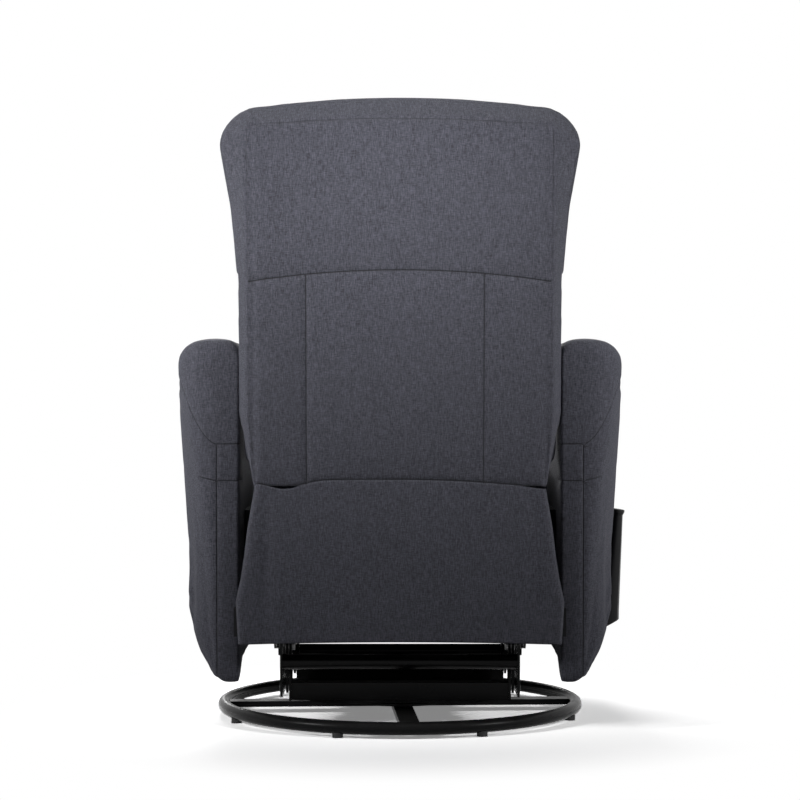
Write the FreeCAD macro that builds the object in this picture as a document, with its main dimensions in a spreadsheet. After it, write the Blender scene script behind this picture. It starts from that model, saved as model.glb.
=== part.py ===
import FreeCAD, Part
import math
import os
from types import SimpleNamespace

import Sketcher

# Swivel glider recliner. Millimetres, +Z up, the origin on the swivel axis at the floor.
# The sitter faces -Y, so the left side of the chair is +X and the pull lever is on -X.

Vector = FreeCAD.Vector

doc = FreeCAD.newDocument("SwivelGliderRecliner")
sheet = doc.addObject("Spreadsheet::Sheet", "Sizes")

# Driving dimensions: alias, value, what it is.
DIMENSIONS = [
    ("ring_outer_diameter", 640, "floor ring, outside"),
    ("ring_tube_diameter", 22, "floor ring, tube"),
    ("foot_height", 6, "rubber foot below the ring"),
    ("foot_radius", 9, "rubber foot"),
    ("foot_bite", 3, "how far a foot's saddle comes up round the tube"),
    ("base_turn", 3.3, "how far the base stands turned, degrees"),
    ("spoke_width", 33, "cross bar of the base"),
    ("spoke_thickness", 10, "cross bar of the base"),
    ("hub_plate_radius", 92, "hub plate of the base, centre to corner"),
    ("hub_plate_thickness", 3, "hub plate of the base"),
    ("race_radius", 115, "swivel bearing, outside"),
    ("race_thickness", 4, "swivel bearing, one race"),
    ("slip_ring_radius", 100, "nylon ring between the races, outside"),
    ("slip_ring_width", 26, "nylon ring between the races"),
    ("slip_ring_thickness", 7, "nylon ring between the races"),
    ("race_lip", 2, "how deep the ring sits in each race"),
    ("running_gap", 0.4, "between pieces that turn past each other"),
    ("shaft_fit", 0.08, "radial clearance of a pin in its own hole"),
    ("pin_radius", 5, "pivot bolts of the glide and seat links"),
    ("king_pin_radius", 8, "pin on the swivel axis"),
    ("king_nut_radius", 15, "nut on the swivel axis"),
    ("king_nut_height", 8, "nut on the swivel axis"),
    ("plate_half_width", 167, "swivel plate, across"),
    ("plate_half_depth", 152, "swivel plate, front to back"),
    ("plate_thickness", 4, "swivel plate"),
    ("plate_corner", 40, "cut corner of the swivel plate"),
    ("plate_window", 34, "radius of a lightening hole in the swivel plate"),
    ("plate_window_offset", 88, "lightening hole from the axis, across"),
    ("channel_height", 29, "cross channel on the swivel plate"),
    ("channel_width", 30, "cross channel on the swivel plate"),
    ("channel_wall", 3, "cross channel, sheet"),
    ("sheet_thickness", 4, "plates of the glide and seat mechanism"),
    ("layer_gap", 2, "between those plates"),
    ("hanger_inner", 184, "inner face of the hangers from the centre"),
    ("glide_half_base", 130, "glide pivots in front of and behind the axis"),
    ("glide_top", 132, "upper glide pivots above the floor"),
    ("glide_link_length", 70, "glide link between its pivots"),
    ("glide_link_radius", 12, "rounded ends of the glide and seat links"),
    ("hanger_foot", 25, "half width of a hanger where it is welded on"),
    ("side_plate_half_length", 215, "lower side plates, front to back"),
    ("side_plate_below", 9, "side plate below its lower pivots"),
    ("side_plate_height", 52, "side plate, its straight bar"),
    ("riser_start", 175, "side plate, where its rear ear starts"),
    ("cross_tube_diameter", 25, "cross tubes between the side plates"),
    ("cross_tube_wall", 2, "cross tubes, wall"),
    ("cross_tube_y", 199, "cross tubes in front of and behind the axis"),
    ("rear_tube_z", 112, "rear cross tube above the floor"),
    ("front_tube_z", 84, "front cross tube above the floor"),
    ("seat_link_rise", 54.5, "seat link, upper pivot above the lower one"),
    ("seat_link_lean", 12.5, "seat link, upper pivot behind the lower one"),
    ("rear_link_y", 188, "rear seat link, lower pivot behind the axis"),
    ("rear_link_z", 145, "rear seat link, lower pivot above the floor"),
    ("front_link_y", -17, "front seat link, lower pivot"),
    ("front_link_z", 92, "front seat link, lower pivot above the floor"),
    ("head_radius", 8, "heads of pivot bolts"),
    ("head_height", 1.4, "low heads of pivot bolts"),
    ("nut_height", 5, "nuts outside the lower side plates"),
    ("rail_top", 300, "top of the seat rails"),
    ("rail_front", 290, "front end of the seat rails ahead of the axis"),
    ("rail_rear", 236, "rear end of the seat rails"),
    ("rail_low", 131, "lower edge of the seat rails"),
    ("rail_nose", 234, "lower edge of the seat rails at their front end"),
    ("rail_heel_y", 170, "where the lower edge of the seat rails turns up at the rear"),
    ("rail_heel_z", 180, "lower end of the rear edge of the seat rails"),
    ("rail_corner", 12, "cut corners of the seat rails"),
    ("rail_flange", 3, "flange on top of the seat rails, thickness"),
    ("back_pivot_y", 210, "recline axis behind the swivel axis"),
    ("back_pivot_z", 365, "recline axis above the floor"),
    ("rail_ear_half", 22, "half width of the ear that holds the recline axis"),
    ("footrest_sheet", 3, "footrest links, thickness"),
    ("footrest_pitch", 4, "footrest links, from layer to layer"),
    ("footrest_radius", 11, "rounded ends of the footrest links"),
    ("footrest_pin", 4, "footrest rivets, radius"),
    ("loose_first", 3.4, "play of the knee pivot, front link to outer link"),
    ("loose_second", 2.6, "play of the upper bracket pivot"),
    ("rear_pivot_u", 200, "footrest rear link pivot ahead of the axis"),
    ("rear_pivot_w", 270, "footrest rear link pivot above the floor"),
    ("front_pivot_u", 256.8, "footrest front link pivot ahead of the axis"),
    ("front_pivot_w", 254.3, "footrest front link pivot above the floor"),
    ("knee_u", 212, "front knee, front link to outer link"),
    ("heel_u", 165.5, "rear knee, rear link to outer link"),
    ("knee_w", 90, "both knees above the floor"),
    ("mid_u", 170.2, "rear link to inner link"),
    ("mid_w", 133.8, "rear link to inner link"),
    ("bracket_u", 350, "both bracket pivots ahead of the axis"),
    ("bracket_low_w", 240, "lower bracket pivot above the floor"),
    ("bracket_high_w", 286.7, "upper bracket pivot above the floor"),
    ("drive_u", 52.7, "drive tube ahead of the axis"),
    ("drive_w", 171.8, "drive tube above the floor"),
    ("drive_radius", 9, "drive tube"),
    ("crank_reach_u", 8.2, "crank pin ahead of the drive tube"),
    ("crank_reach_w", -39.9, "crank pin below the drive tube"),
    ("rod_pin_u", 194.7, "drive rod pin on the rear link"),
    ("rod_pin_w", 242.5, "drive rod pin on the rear link"),
    ("loose_rod", 3.1, "play of the drive rod on the crank pin"),
    ("arm_inner", 262, "inner face of the arms from the centre"),
    ("arm_outer", 372, "widest point of the arms from the centre"),
    ("arm_rear", 280, "rear face of the arms"),
    ("arm_front", 405, "front face of the arms ahead of the axis"),
    ("arm_top", 652, "top of the arms"),
    ("arm_toe", 82, "lower end of the arms at their rear corner"),
    ("arm_underside", 116, "underside of the arms ahead of the rear corner"),
    ("arm_rear_width", 47, "rear face of the arms, across"),
    ("arm_rear_round", 78, "how far forward of the rear face the arms reach their full width"),
    ("arm_front_round", 44, "how far behind the front face the arms reach their full width"),
    ("arm_crown", 48, "widest point of the arms below their top"),
    ("arm_draw", 28, "how far the outer side draws in towards its lower edge"),
    ("arm_hip", 160, "where the outer side starts to turn under"),
    ("board_thickness", 22, "wooden boards of the seat box"),
    ("board_top", 365, "top of the seat box"),
    ("board_front", 362, "front face of the seat box ahead of the axis"),
    ("board_rear", 176, "rear face of the seat box"),
    ("front_board_low", 303, "lower edge of the front board"),
    ("strap_width", 58, "seat straps"),
    ("strap_thickness", 2, "seat straps"),
    ("stretcher_width", 270, "rear stretcher, half width"),
    ("stretcher_low", 166, "rear stretcher, lower edge"),
    ("stretcher_high", 212, "rear stretcher, upper edge"),
    ("stretcher_depth", 25, "rear stretcher, front to back"),
    ("soft_gap", 0.4, "between a cushion and what carries it"),
    ("cushion_half_width", 257, "seat cushion, across"),
    ("cushion_overhang", 36, "seat cushion ahead of the seat box"),
    ("cushion_rear", 134, "rear of the seat cushion"),
    ("cushion_crown", 492, "top of the seat cushion at its middle"),
    ("cushion_edge", 468, "top of the seat cushion at its sides"),
    ("board_gap", 4, "stowed footrest board ahead of the seat box"),
    ("ottoman_board_thickness", 16, "footrest board"),
    ("ottoman_board_half", 238, "footrest board, half width"),
    ("ottoman_board_low", 114, "footrest board, lower edge"),
    ("ottoman_board_high", 344, "footrest board, upper edge"),
    ("ottoman_half", 255, "footrest pad, half width"),
    ("ottoman_low", 97, "footrest pad, lower edge"),
    ("ottoman_high", 357, "footrest pad, upper edge"),
    ("ottoman_crown", 46, "footrest pad, thickness at its middle"),
    ("ottoman_edge", 24, "footrest pad, thickness at its edges"),
    ("back_lean", 6, "lean of the back at rest, degrees"),
    ("cover_rear", 105, "rear face of the back behind the recline axis"),
    ("cover_depth", 44, "side band of the back cover"),
    ("cover_wall", 8, "padded wall of the back cover"),
    ("cover_low", 52, "lower edge of the back cover above the recline axis"),
    ("panel_high", 648, "top of the rear panel above the recline axis"),
    ("panel_arch", 10, "drop of the rear panel's top from the middle to the corners"),
    ("panel_corner", 16, "rounded top corners of the rear panel"),
    ("panel_half_low", 243, "rear panel, half width at its lower edge"),
    ("panel_half", 246, "rear panel, half width above the hips"),
    ("band_high", 680, "top of the band's front edge above the recline axis"),
    ("band_arch", 14, "drop of that edge from the middle to the corners"),
    ("band_corner", 74, "its rounded top corners"),
    ("band_half_low", 244, "front edge of the side bands, half width at the lower edge"),
    ("band_half", 265, "front edge of the side bands, half width beside the arms"),
    ("hip_height", 172, "where the back reaches its width above the recline axis"),
    ("waist_height", 392, "upper seam above the recline axis"),
    ("wing_start", 500, "where the wings begin to stand out"),
    ("wing_start_half", 274, "half width there"),
    ("post_width", 15, "posts of the back frame, across"),
    ("post_low", 62, "lower end of the posts above the recline axis"),
    ("post_high", 602, "upper end of the posts above the recline axis"),
    ("back_rail_height", 48, "cross rails of the back frame"),
    ("bracket_radius", 14, "back brackets, half width"),
    ("bracket_reach", 200, "top of the back brackets above the recline axis"),
    ("cushion_corner", 24, "rounded corners of the back and head cushions"),
    ("cushion_fullness", 9, "crown of the back and head cushions"),
    ("back_cushion_low", 82, "lower edge of the back cushion"),
    ("back_cushion_half", 258, "back cushion, half width beside the arms"),
    ("back_front_low", 76, "front of the back cushion ahead of the axis, low"),
    ("back_front_split", 58, "front of the back cushion at the head cushion"),
    ("back_front_top", 34, "front of the head cushion at its top"),
    ("wing_half", 292, "wings, half width"),
    ("head_fullness", 3, "how far the head cushion swells past the band"),
    ("head_roll", 46, "how far the head cushion's face is rounded in at its edges"),
    ("skirt_low", 159, "hem of the rear skirt"),
    ("skirt_half_low", 265, "rear skirt, half width at its hem"),
    ("skirt_half_high", 235, "rear skirt, half width at its top"),
    ("skirt_flare_z", 226, "where the skirt reaches its full width"),
    ("skirt_thickness", 8, "rear skirt"),
    ("lever_tuck", 22, "end of the lever's boss inside the arms' widest point"),
    ("lever_boss_radius", 15, "boss of the lever round the shaft"),
    ("shaft_in_lever", 12, "how deep the drive tube sits in the lever"),
    ("lever_face", 20, "outer face of the lever beyond the arms' widest point"),
    ("lever_hub_radius", 26, "hub of the lever"),
    ("lever_hub_thickness", 31, "lever at its hub"),
    ("lever_tip_thickness", 17, "lever at its tip"),
    ("lever_lean", 7, "how far the tip stands out from the hub"),
    ("lever_length", 181, "lever, hub to tip"),
    ("lever_width", 52, "lever, its widest"),
    ("lever_lip", 3, "lip round the lever's tip"),
    ("arm_hole_radius", 17, "hole in the arm round the lever's shaft"),
]


class Size:
    """A number from the sheet, with the expression that names its cells."""

    def __init__(self, value, text):
        self.value = value
        self.text = text

    def combined(self, sign, other, value):
        text = other.text if isinstance(other, Size) else repr(other)
        return Size(value, f"({self.text} {sign} {text})")

    def __add__(self, other):
        return self.combined("+", other, self.value + number(other))

    def __sub__(self, other):
        return self.combined("-", other, self.value - number(other))

    def __mul__(self, other):
        return self.combined("*", other, self.value * number(other))

    def __truediv__(self, other):
        return self.combined("/", other, self.value / number(other))

    def __neg__(self):
        return Size(-self.value, f"(0 - {self.text})")


def number(size):
    return size.value if isinstance(size, Size) else float(size)


d = SimpleNamespace()
for row, (alias, value, note) in enumerate(DIMENSIONS, start=1):
    sheet.set(f"A{row}", str(value))
    sheet.setAlias(f"A{row}", alias)
    sheet.set(f"B{row}", note)
    setattr(d, alias, Size(float(value), f"Sizes.{alias}"))
doc.recompute()

ZERO = Size(0.0, "0")
nodes = []


# Helpers for bodies, sketches and plain solids

def bind(thing, name, size):
    thing.setExpression(name, size.text)


def node(thing, label):
    """Names a finished sub-part and puts it on the list of what is written."""
    thing.Label = label
    nodes.append(thing)
    return thing


def new_body(name):
    return doc.addObject("PartDesign::Body", name)


def new_sketch(body, name, plane, offset=ZERO):
    sketch = body.newObject("Sketcher::SketchObject", name)
    support = next(p for p in body.Origin.OriginFeatures if p.Role == plane)
    sketch.AttachmentSupport = [(support, "")]
    sketch.MapMode = "FlatFace"
    bind(sketch, "AttachmentOffset.Base.z", offset)
    return sketch


def fix_point(sketch, geometry, end, x, y):
    for kind, size in (("DistanceX", x), ("DistanceY", y)):
        index = sketch.addConstraint(
            Sketcher.Constraint(kind, -1, 1, geometry, end, number(size)))
        bind(sketch, f"Constraints[{index}]", size)


def add_circle(sketch, x, y, radius):
    centre = Vector(number(x), number(y), 0)
    geometry = sketch.addGeometry(Part.Circle(centre, Vector(0, 0, 1), number(radius)), False)
    fix_point(sketch, geometry, 3, x, y)
    index = sketch.addConstraint(Sketcher.Constraint("Radius", geometry, number(radius)))
    bind(sketch, f"Constraints[{index}]", radius)


def add_polygon(sketch, points):
    places = [Vector(number(x), number(y), 0) for x, y in points]
    first = None
    for start, end in zip(places, places[1:] + places[:1]):
        line = sketch.addGeometry(Part.LineSegment(start, end), False)
        first = line if first is None else first
    count = len(points)
    for i in range(count):
        following = first + (i + 1) % count
        sketch.addConstraint(Sketcher.Constraint("Coincident", first + i, 2, following, 1))
    for i, (x, y) in enumerate(points):
        fix_point(sketch, first + i, 1, x, y)


def add_obround(sketch, start, end, radius):
    """A bar with round ends, centred on two points."""
    a = Vector(number(start[0]), number(start[1]), 0)
    b = Vector(number(end[0]), number(end[1]), 0)
    r = number(radius)
    along = math.atan2(b.y - a.y, b.x - a.x)
    quarter = math.pi / 2
    circle_a = Part.Circle(a, Vector(0, 0, 1), r)
    circle_b = Part.Circle(b, Vector(0, 0, 1), r)
    arc_a = Part.ArcOfCircle(circle_a, along + quarter, along + 3 * quarter)
    arc_b = Part.ArcOfCircle(circle_b, along - quarter, along + quarter)
    first = sketch.addGeometry(arc_a, False)
    lower = sketch.addGeometry(Part.LineSegment(arc_a.EndPoint, arc_b.StartPoint), False)
    last = sketch.addGeometry(arc_b, False)
    upper = sketch.addGeometry(Part.LineSegment(arc_b.EndPoint, arc_a.StartPoint), False)
    for one, two in ((first, lower), (lower, last), (last, upper), (upper, first)):
        sketch.addConstraint(Sketcher.Constraint("Tangent", one, 2, two, 1))
    sketch.addConstraint(Sketcher.Constraint("Equal", first, last))
    index = sketch.addConstraint(Sketcher.Constraint("Radius", first, r))
    bind(sketch, f"Constraints[{index}]", radius)
    fix_point(sketch, first, 3, *start)
    fix_point(sketch, last, 3, *end)


def pad(body, sketch, length, reverse=False):
    feature = body.newObject("PartDesign::Pad", "Pad")
    feature.Profile = sketch
    feature.Reversed = reverse
    bind(feature, "Length", length)
    return feature


def pocket(body, sketch):
    feature = body.newObject("PartDesign::Pocket", "Pocket")
    feature.Profile = sketch
    feature.Type = "ThroughAll"
    feature.Midplane = True
    return feature


def revolve(body, sketch, axis):
    feature = body.newObject("PartDesign::Revolution", "Turned")
    feature.Profile = sketch
    feature.ReferenceAxis = (sketch, [axis])
    feature.Angle = 360.0
    return feature


def rod_x(name, start, end, y, z, radius):
    """A round bar along X between two places."""
    rod = doc.addObject("Part::Cylinder", name)
    bind(rod, "Radius", radius)
    bind(rod, "Height", end - start)
    rod.Placement.Rotation = FreeCAD.Rotation(Vector(0, 1, 0), 90)
    bind(rod, "Placement.Base.x", start)
    bind(rod, "Placement.Base.y", y)
    bind(rod, "Placement.Base.z", z)
    return rod


def disc_z(name, radius, low, high, x=ZERO, y=ZERO):
    disc = doc.addObject("Part::Cylinder", name)
    bind(disc, "Radius", radius)
    bind(disc, "Height", high - low)
    bind(disc, "Placement.Base.x", x)
    bind(disc, "Placement.Base.y", y)
    bind(disc, "Placement.Base.z", low)
    return disc


def block(name, x, y, z):
    """A box between two places on each axis."""
    box = doc.addObject("Part::Box", name)
    for side, (low, high) in zip(("Length", "Width", "Height"), (x, y, z)):
        bind(box, side, high - low)
    for axis, (low, high) in zip("xyz", (x, y, z)):
        bind(box, f"Placement.Base.{axis}", low)
    return box


def fuse(name, shapes):
    joined = doc.addObject("Part::MultiFuse", name)
    joined.Shapes = shapes
    joined.Refine = True
    return joined


def cut(name, base, tool):
    result = doc.addObject("Part::Cut", name)
    result.Base = base
    result.Tool = tool
    return result


def group(name, shapes):
    """Like solids that share one node."""
    result = doc.addObject("Part::Compound", name)
    result.Links = shapes
    return result


def mirrored(name, thing):
    """The same piece on the other side of the chair."""
    result = doc.addObject("Part::Mirroring", name)
    result.Source = thing
    result.Normal = Vector(1, 0, 0)
    return result


def both_sides(name, thing):
    return group(name, [thing, mirrored(name + "_mirror", thing)])


def plate(name, layer, thickness, runs, holes, radius):
    """A sheet part standing along the chair: round-ended bars joined end to end, drilled."""
    body = new_body(name)
    for start, end in runs:
        outline = new_sketch(body, "Bar", "YZ_Plane", layer)
        add_obround(outline, start, end, radius)
        pad(body, outline, thickness)
    if holes:
        drilling = new_sketch(body, "Holes", "YZ_Plane", layer)
        for y, z, hole_radius in holes:
            add_circle(drilling, y, z, hole_radius)
        pocket(body, drilling)
    return body


def feature_from_shape(name, shape, placement=None):
    feature = doc.addObject("Part::Feature", name)
    feature.Shape = shape
    if placement is not None:
        feature.Placement = placement
    return feature


# Floor base: ring, feet, cross bars and swivel bearing

tube_radius = d.ring_tube_diameter / 2
ring_radius = d.ring_outer_diameter / 2 - tube_radius
ring_z = d.foot_height + tube_radius
spoke_low = ring_z - d.spoke_thickness / 2
spoke_high = ring_z + d.spoke_thickness / 2
hub_top = spoke_high + d.hub_plate_thickness
lower_race_top = hub_top + d.race_thickness
upper_race_low = lower_race_top - d.race_lip * 2 + d.slip_ring_thickness + d.running_gap
plate_low = upper_race_low + d.race_thickness
plate_top = plate_low + d.plate_thickness


def turn_base(thing):
    """The base stands turned a little about the swivel axis."""
    thing.Placement.Rotation = FreeCAD.Rotation(Vector(0, 0, 1), 0)
    bind(thing, "Placement.Rotation.Angle", d.base_turn)


def make_ring(name):
    ring = doc.addObject("Part::Torus", name)
    bind(ring, "Radius1", ring_radius)
    bind(ring, "Radius2", tube_radius)
    bind(ring, "Placement.Base.z", ring_z)
    return ring


def make_feet():
    """Eight rubber feet, each with a saddle that takes the tube."""
    feet = []
    for i in range(8):
        angle = math.radians(22.5 + 45 * i)
        foot = disc_z("foot", d.foot_radius, ZERO, d.foot_height + d.foot_bite,
                      ring_radius * math.cos(angle), ring_radius * math.sin(angle))
        feet.append(cut("saddled_foot", foot, make_ring("saddle")))
    return group("foot_glides", feet)


def make_spokes():
    """Two crossed flat bars with a hub plate, coped to the ring."""
    bars = []
    reach = ring_radius
    half = d.spoke_width / 2
    for axis in range(2):
        long_side = (-reach, reach)
        short_side = (-half, half)
        x, y = (long_side, short_side) if axis == 0 else (short_side, long_side)
        bars.append(block("cross_bar", x, y, (spoke_low, spoke_high)))
    body = new_body("hub_plate")
    outline = new_sketch(body, "HubPlate", "XY_Plane", spoke_high)
    corner = d.hub_plate_radius
    add_polygon(outline, [(corner, ZERO), (ZERO, corner), (-corner, ZERO), (ZERO, -corner)])
    pad(body, outline, d.hub_plate_thickness)
    welded = fuse("welded_spokes", bars + [body])
    coped = cut("coped_spokes", welded, make_ring("coping"))
    bore = disc_z("hub_bore", d.king_pin_radius + d.shaft_fit, ZERO, hub_top + 1)
    return cut("base_spokes", coped, bore)


def make_race(name, low, groove_low, groove_high):
    """A pressed bearing race: a flat ring with the groove for the nylon ring."""
    body = new_body(name)
    section = new_sketch(body, "Section", "XZ_Plane")
    inner = d.king_pin_radius + d.slip_ring_width / 2
    high = low + d.race_thickness
    add_polygon(section, [(inner, low), (d.race_radius, low), (d.race_radius, high), (inner, high)])
    revolve(body, section, "V_Axis")
    groove = new_sketch(body, "GrooveSection", "XZ_Plane")
    far = d.slip_ring_radius + d.running_gap
    near = d.slip_ring_radius - d.slip_ring_width - d.running_gap
    add_polygon(groove, [(near, groove_low), (far, groove_low),
                         (far, groove_high), (near, groove_high)])
    feature = body.newObject("PartDesign::Groove", "RaceGroove")
    feature.Profile = groove
    feature.ReferenceAxis = (groove, ["V_Axis"])
    feature.Angle = 360.0
    return body


def make_slip_ring():
    body = new_body("slip_ring")
    section = new_sketch(body, "Section", "XZ_Plane")
    low = lower_race_top - d.race_lip
    high = low + d.slip_ring_thickness
    outer = d.slip_ring_radius
    inner = outer - d.slip_ring_width
    add_polygon(section, [(inner, low), (outer, low), (outer, high), (inner, high)])
    revolve(body, section, "V_Axis")
    return body


def make_king_pin():
    """Headed pin on the swivel axis, with a nut that keeps the chair on its base."""
    pin = d.king_pin_radius
    nut_low = plate_top + d.running_gap
    shank = disc_z("king_shank", pin, spoke_low - 1, nut_low + d.king_nut_height)
    head = disc_z("king_head", d.king_nut_radius, spoke_low - 4, spoke_low)
    nut = disc_z("king_nut", d.king_nut_radius, nut_low, nut_low + d.king_nut_height)
    return fuse("swivel_pin", [shank, head, nut])


base_ring = make_ring("base_ring")
for thing, label in ((base_ring, "base_ring"), (make_spokes(), "base_spokes"),
                     (make_feet(), "foot_glides")):
    turn_base(node(thing, label))
node(make_race("lower_race", hub_top, lower_race_top - d.race_lip, lower_race_top + 1), "lower_race")
node(make_slip_ring(), "slip_ring")
node(make_king_pin(), "swivel_pin")

# Swivelling frame: race, plate, two channels, four hangers


def make_swivel_plate():
    body = new_body("swivel_plate")
    outline = new_sketch(body, "Outline", "XY_Plane", plate_low)
    wide = d.plate_half_width
    deep = d.plate_half_depth
    near_x = wide - d.plate_corner
    near_y = deep - d.plate_corner
    add_polygon(outline, [(wide, near_y), (near_x, deep), (-near_x, deep), (-wide, near_y),
                          (-wide, -near_y), (-near_x, -deep), (near_x, -deep), (wide, -near_y)])
    pad(body, outline, d.plate_thickness)
    holes = new_sketch(body, "Holes", "XY_Plane", plate_low)
    add_circle(holes, ZERO, ZERO, d.king_pin_radius + d.shaft_fit)
    for side in (1, -1):
        add_circle(holes, d.plate_window_offset * side, ZERO, d.plate_window)
    pocket(body, holes)
    return body


channel_top = plate_top + d.channel_height


def make_channel(name, side):
    """An upturned channel across the swivel plate, between two hangers."""
    body = new_body(name)
    section = new_sketch(body, "Section", "YZ_Plane", -d.hanger_inner)
    middle = d.glide_half_base * side
    far = middle + d.channel_width / 2
    near = middle - d.channel_width / 2
    wall = d.channel_wall
    add_polygon(section, [(near, plate_top), (near, channel_top), (far, channel_top),
                          (far, plate_top), (far - wall, plate_top),
                          (far - wall, channel_top - wall), (near + wall, channel_top - wall),
                          (near + wall, plate_top)])
    pad(body, section, d.hanger_inner * 2)
    return body


glide_low = d.glide_top - d.glide_link_length
hanger_outer = d.hanger_inner + d.sheet_thickness
glide_inner = hanger_outer + d.layer_gap
glide_outer = glide_inner + d.sheet_thickness
side_inner = glide_outer + d.layer_gap
side_outer = side_inner + d.sheet_thickness
seat_link_inner = side_outer + d.layer_gap
seat_link_outer = seat_link_inner + d.sheet_thickness
rail_inner = seat_link_outer + d.layer_gap
rail_outer = rail_inner + d.sheet_thickness
pin_hole = d.pin_radius + d.shaft_fit


def make_hanger(name, side):
    """A plate welded to the channel's end, tapering to the ear of the upper glide pivot."""
    body = new_body(name)
    foot = new_sketch(body, "Foot", "YZ_Plane", d.hanger_inner)
    middle = d.glide_half_base * side
    ear = d.glide_link_radius
    add_polygon(foot, [(middle - d.hanger_foot, plate_top), (middle + d.hanger_foot, plate_top),
                       (middle + d.hanger_foot, channel_top), (middle + ear, d.glide_top),
                       (middle - ear, d.glide_top), (middle - d.hanger_foot, channel_top)])
    pad(body, foot, d.sheet_thickness)
    top = new_sketch(body, "Ear", "YZ_Plane", d.hanger_inner)
    add_circle(top, middle, d.glide_top, ear)
    pad(body, top, d.sheet_thickness)
    hole = new_sketch(body, "PivotHole", "YZ_Plane", d.hanger_inner)
    add_circle(hole, middle, d.glide_top, pin_hole)
    pocket(body, hole)
    return body


def make_pin(name, y, z, start, end, heads, radius, head_radius):
    """A pivot pin along X with the heads given as pairs of places."""
    parts = [rod_x(name, start, end, y, z, radius)]
    for low, high in heads:
        parts.append(rod_x(name + "_head", low, high, y, z, head_radius))
    return fuse(name + "_pin", parts) if heads else parts[0]


node(make_race("upper_race", upper_race_low, upper_race_low - 1, upper_race_low + d.race_lip
               ), "upper_race")
node(make_swivel_plate(), "swivel_plate")
node(make_channel("front_channel", -1), "front_channel")
node(make_channel("rear_channel", 1), "rear_channel")
for end_name, side in (("front", -1), ("rear", 1)):
    hanger = node(make_hanger(f"hanger_{end_name}_left", side), f"hanger_{end_name}_left")
    node(mirrored(f"hanger_{end_name}_right", hanger), f"hanger_{end_name}_right")

bolts = []
for side in (-1, 1):
    bolt = make_pin("glide_bolt", d.glide_half_base * side, d.glide_top,
                    d.hanger_inner - d.nut_height, glide_outer + d.head_height,
                    [(d.hanger_inner - d.nut_height, d.hanger_inner),
                     (glide_outer + d.running_gap, glide_outer + d.running_gap + d.head_height)],
                    d.pin_radius, d.head_radius)
    bolts += [bolt, mirrored("glide_bolt_mirror", bolt)]
node(group("hanger_bolts", bolts), "hanger_bolts")

# Four glide links

for end_name, side in (("front", -1), ("rear", 1)):
    y = d.glide_half_base * side
    link = plate(f"glide_link_{end_name}_left", glide_inner, d.sheet_thickness,
                 [((y, d.glide_top), (y, glide_low))],
                 [(y, d.glide_top, pin_hole), (y, glide_low, pin_hole)], d.glide_link_radius)
    node(link, f"glide_link_{end_name}_left")
    node(mirrored(f"glide_link_{end_name}_right", link), f"glide_link_{end_name}_right")

# Gliding chassis: two side plates and two cross tubes

side_low = glide_low - d.side_plate_below
side_high = side_low + d.side_plate_height
rear_upper_y = d.rear_link_y + d.seat_link_lean
rear_upper_z = d.rear_link_z + d.seat_link_rise
front_upper_y = d.front_link_y + d.seat_link_lean
front_upper_z = d.front_link_z + d.seat_link_rise


def make_side_plate():
    """A bar with an ear at its rear end for the rear seat link."""
    body = new_body("side_plate_left")
    outline = new_sketch(body, "Outline", "YZ_Plane", side_inner)
    half = d.side_plate_half_length
    ear_top = d.rear_link_z + d.glide_link_radius
    bevel = d.glide_link_radius
    add_polygon(outline, [(-half + bevel, side_low), (half - bevel, side_low),
                          (half, side_low + bevel), (half, ear_top - bevel),
                          (half - bevel, ear_top), (d.riser_start + bevel / 2, ear_top),
                          (d.riser_start, ear_top - bevel), (d.riser_start, side_high),
                          (-half + bevel, side_high), (-half, side_high - bevel),
                          (-half, side_low + bevel)])
    pad(body, outline, d.sheet_thickness)
    holes = new_sketch(body, "PivotHoles", "YZ_Plane", side_inner)
    for side in (-1, 1):
        add_circle(holes, d.glide_half_base * side, glide_low, pin_hole)
    add_circle(holes, d.rear_link_y, d.rear_link_z, pin_hole)
    add_circle(holes, d.front_link_y, d.front_link_z, pin_hole)
    pocket(body, holes)
    return body


def make_cross_tube(name, y, z):
    outer = rod_x(name + "_outside", -side_inner, side_inner, y, z, d.cross_tube_diameter / 2)
    inner = rod_x(name + "_inside", -side_inner, side_inner, y, z,
                  d.cross_tube_diameter / 2 - d.cross_tube_wall)
    return cut(name, outer, inner)


side_plate = node(make_side_plate(), "side_plate_left")
node(mirrored("side_plate_right", side_plate), "side_plate_right")
node(make_cross_tube("front_cross_tube", -d.cross_tube_y, d.front_tube_z), "front_cross_tube")
node(make_cross_tube("rear_cross_tube", d.cross_tube_y, d.rear_tube_z), "rear_cross_tube")

bolts = []
for side in (-1, 1):
    bolts.append(make_pin("lower_bolt", d.glide_half_base * side, glide_low,
                          glide_inner - d.head_height, side_outer + d.nut_height,
                          [(glide_inner - d.head_height, glide_inner - d.running_gap),
                           (side_outer, side_outer + d.nut_height)],
                          d.pin_radius, d.head_radius))
for y, z in ((d.rear_link_y, d.rear_link_z), (d.front_link_y, d.front_link_z)):
    bolts.append(make_pin("seat_link_bolt", y, z,
                          side_inner - d.head_height, seat_link_outer + d.head_height,
                          [(side_inner - d.head_height, side_inner),
                           (seat_link_outer + d.running_gap, seat_link_outer + d.head_height)],
                          d.pin_radius, d.head_radius))
node(group("side_plate_pins", bolts + [mirrored("side_pin_mirror", b) for b in bolts]),
     "side_plate_pins")

# Seat links

loose_pin_hole = d.pin_radius + d.running_gap
for end_name, low, high, hole in (
        ("front", (d.front_link_y, d.front_link_z), (front_upper_y, front_upper_z), loose_pin_hole),
        ("rear", (d.rear_link_y, d.rear_link_z), (rear_upper_y, rear_upper_z), pin_hole)):
    link = plate(f"seat_link_{end_name}", seat_link_inner, d.sheet_thickness, [(low, high)],
                 [(low[0], low[1], pin_hole), (high[0], high[1], hole)], d.glide_link_radius)
    node(both_sides(f"seat_links_{end_name}", link), f"seat_links_{end_name}")

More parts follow.
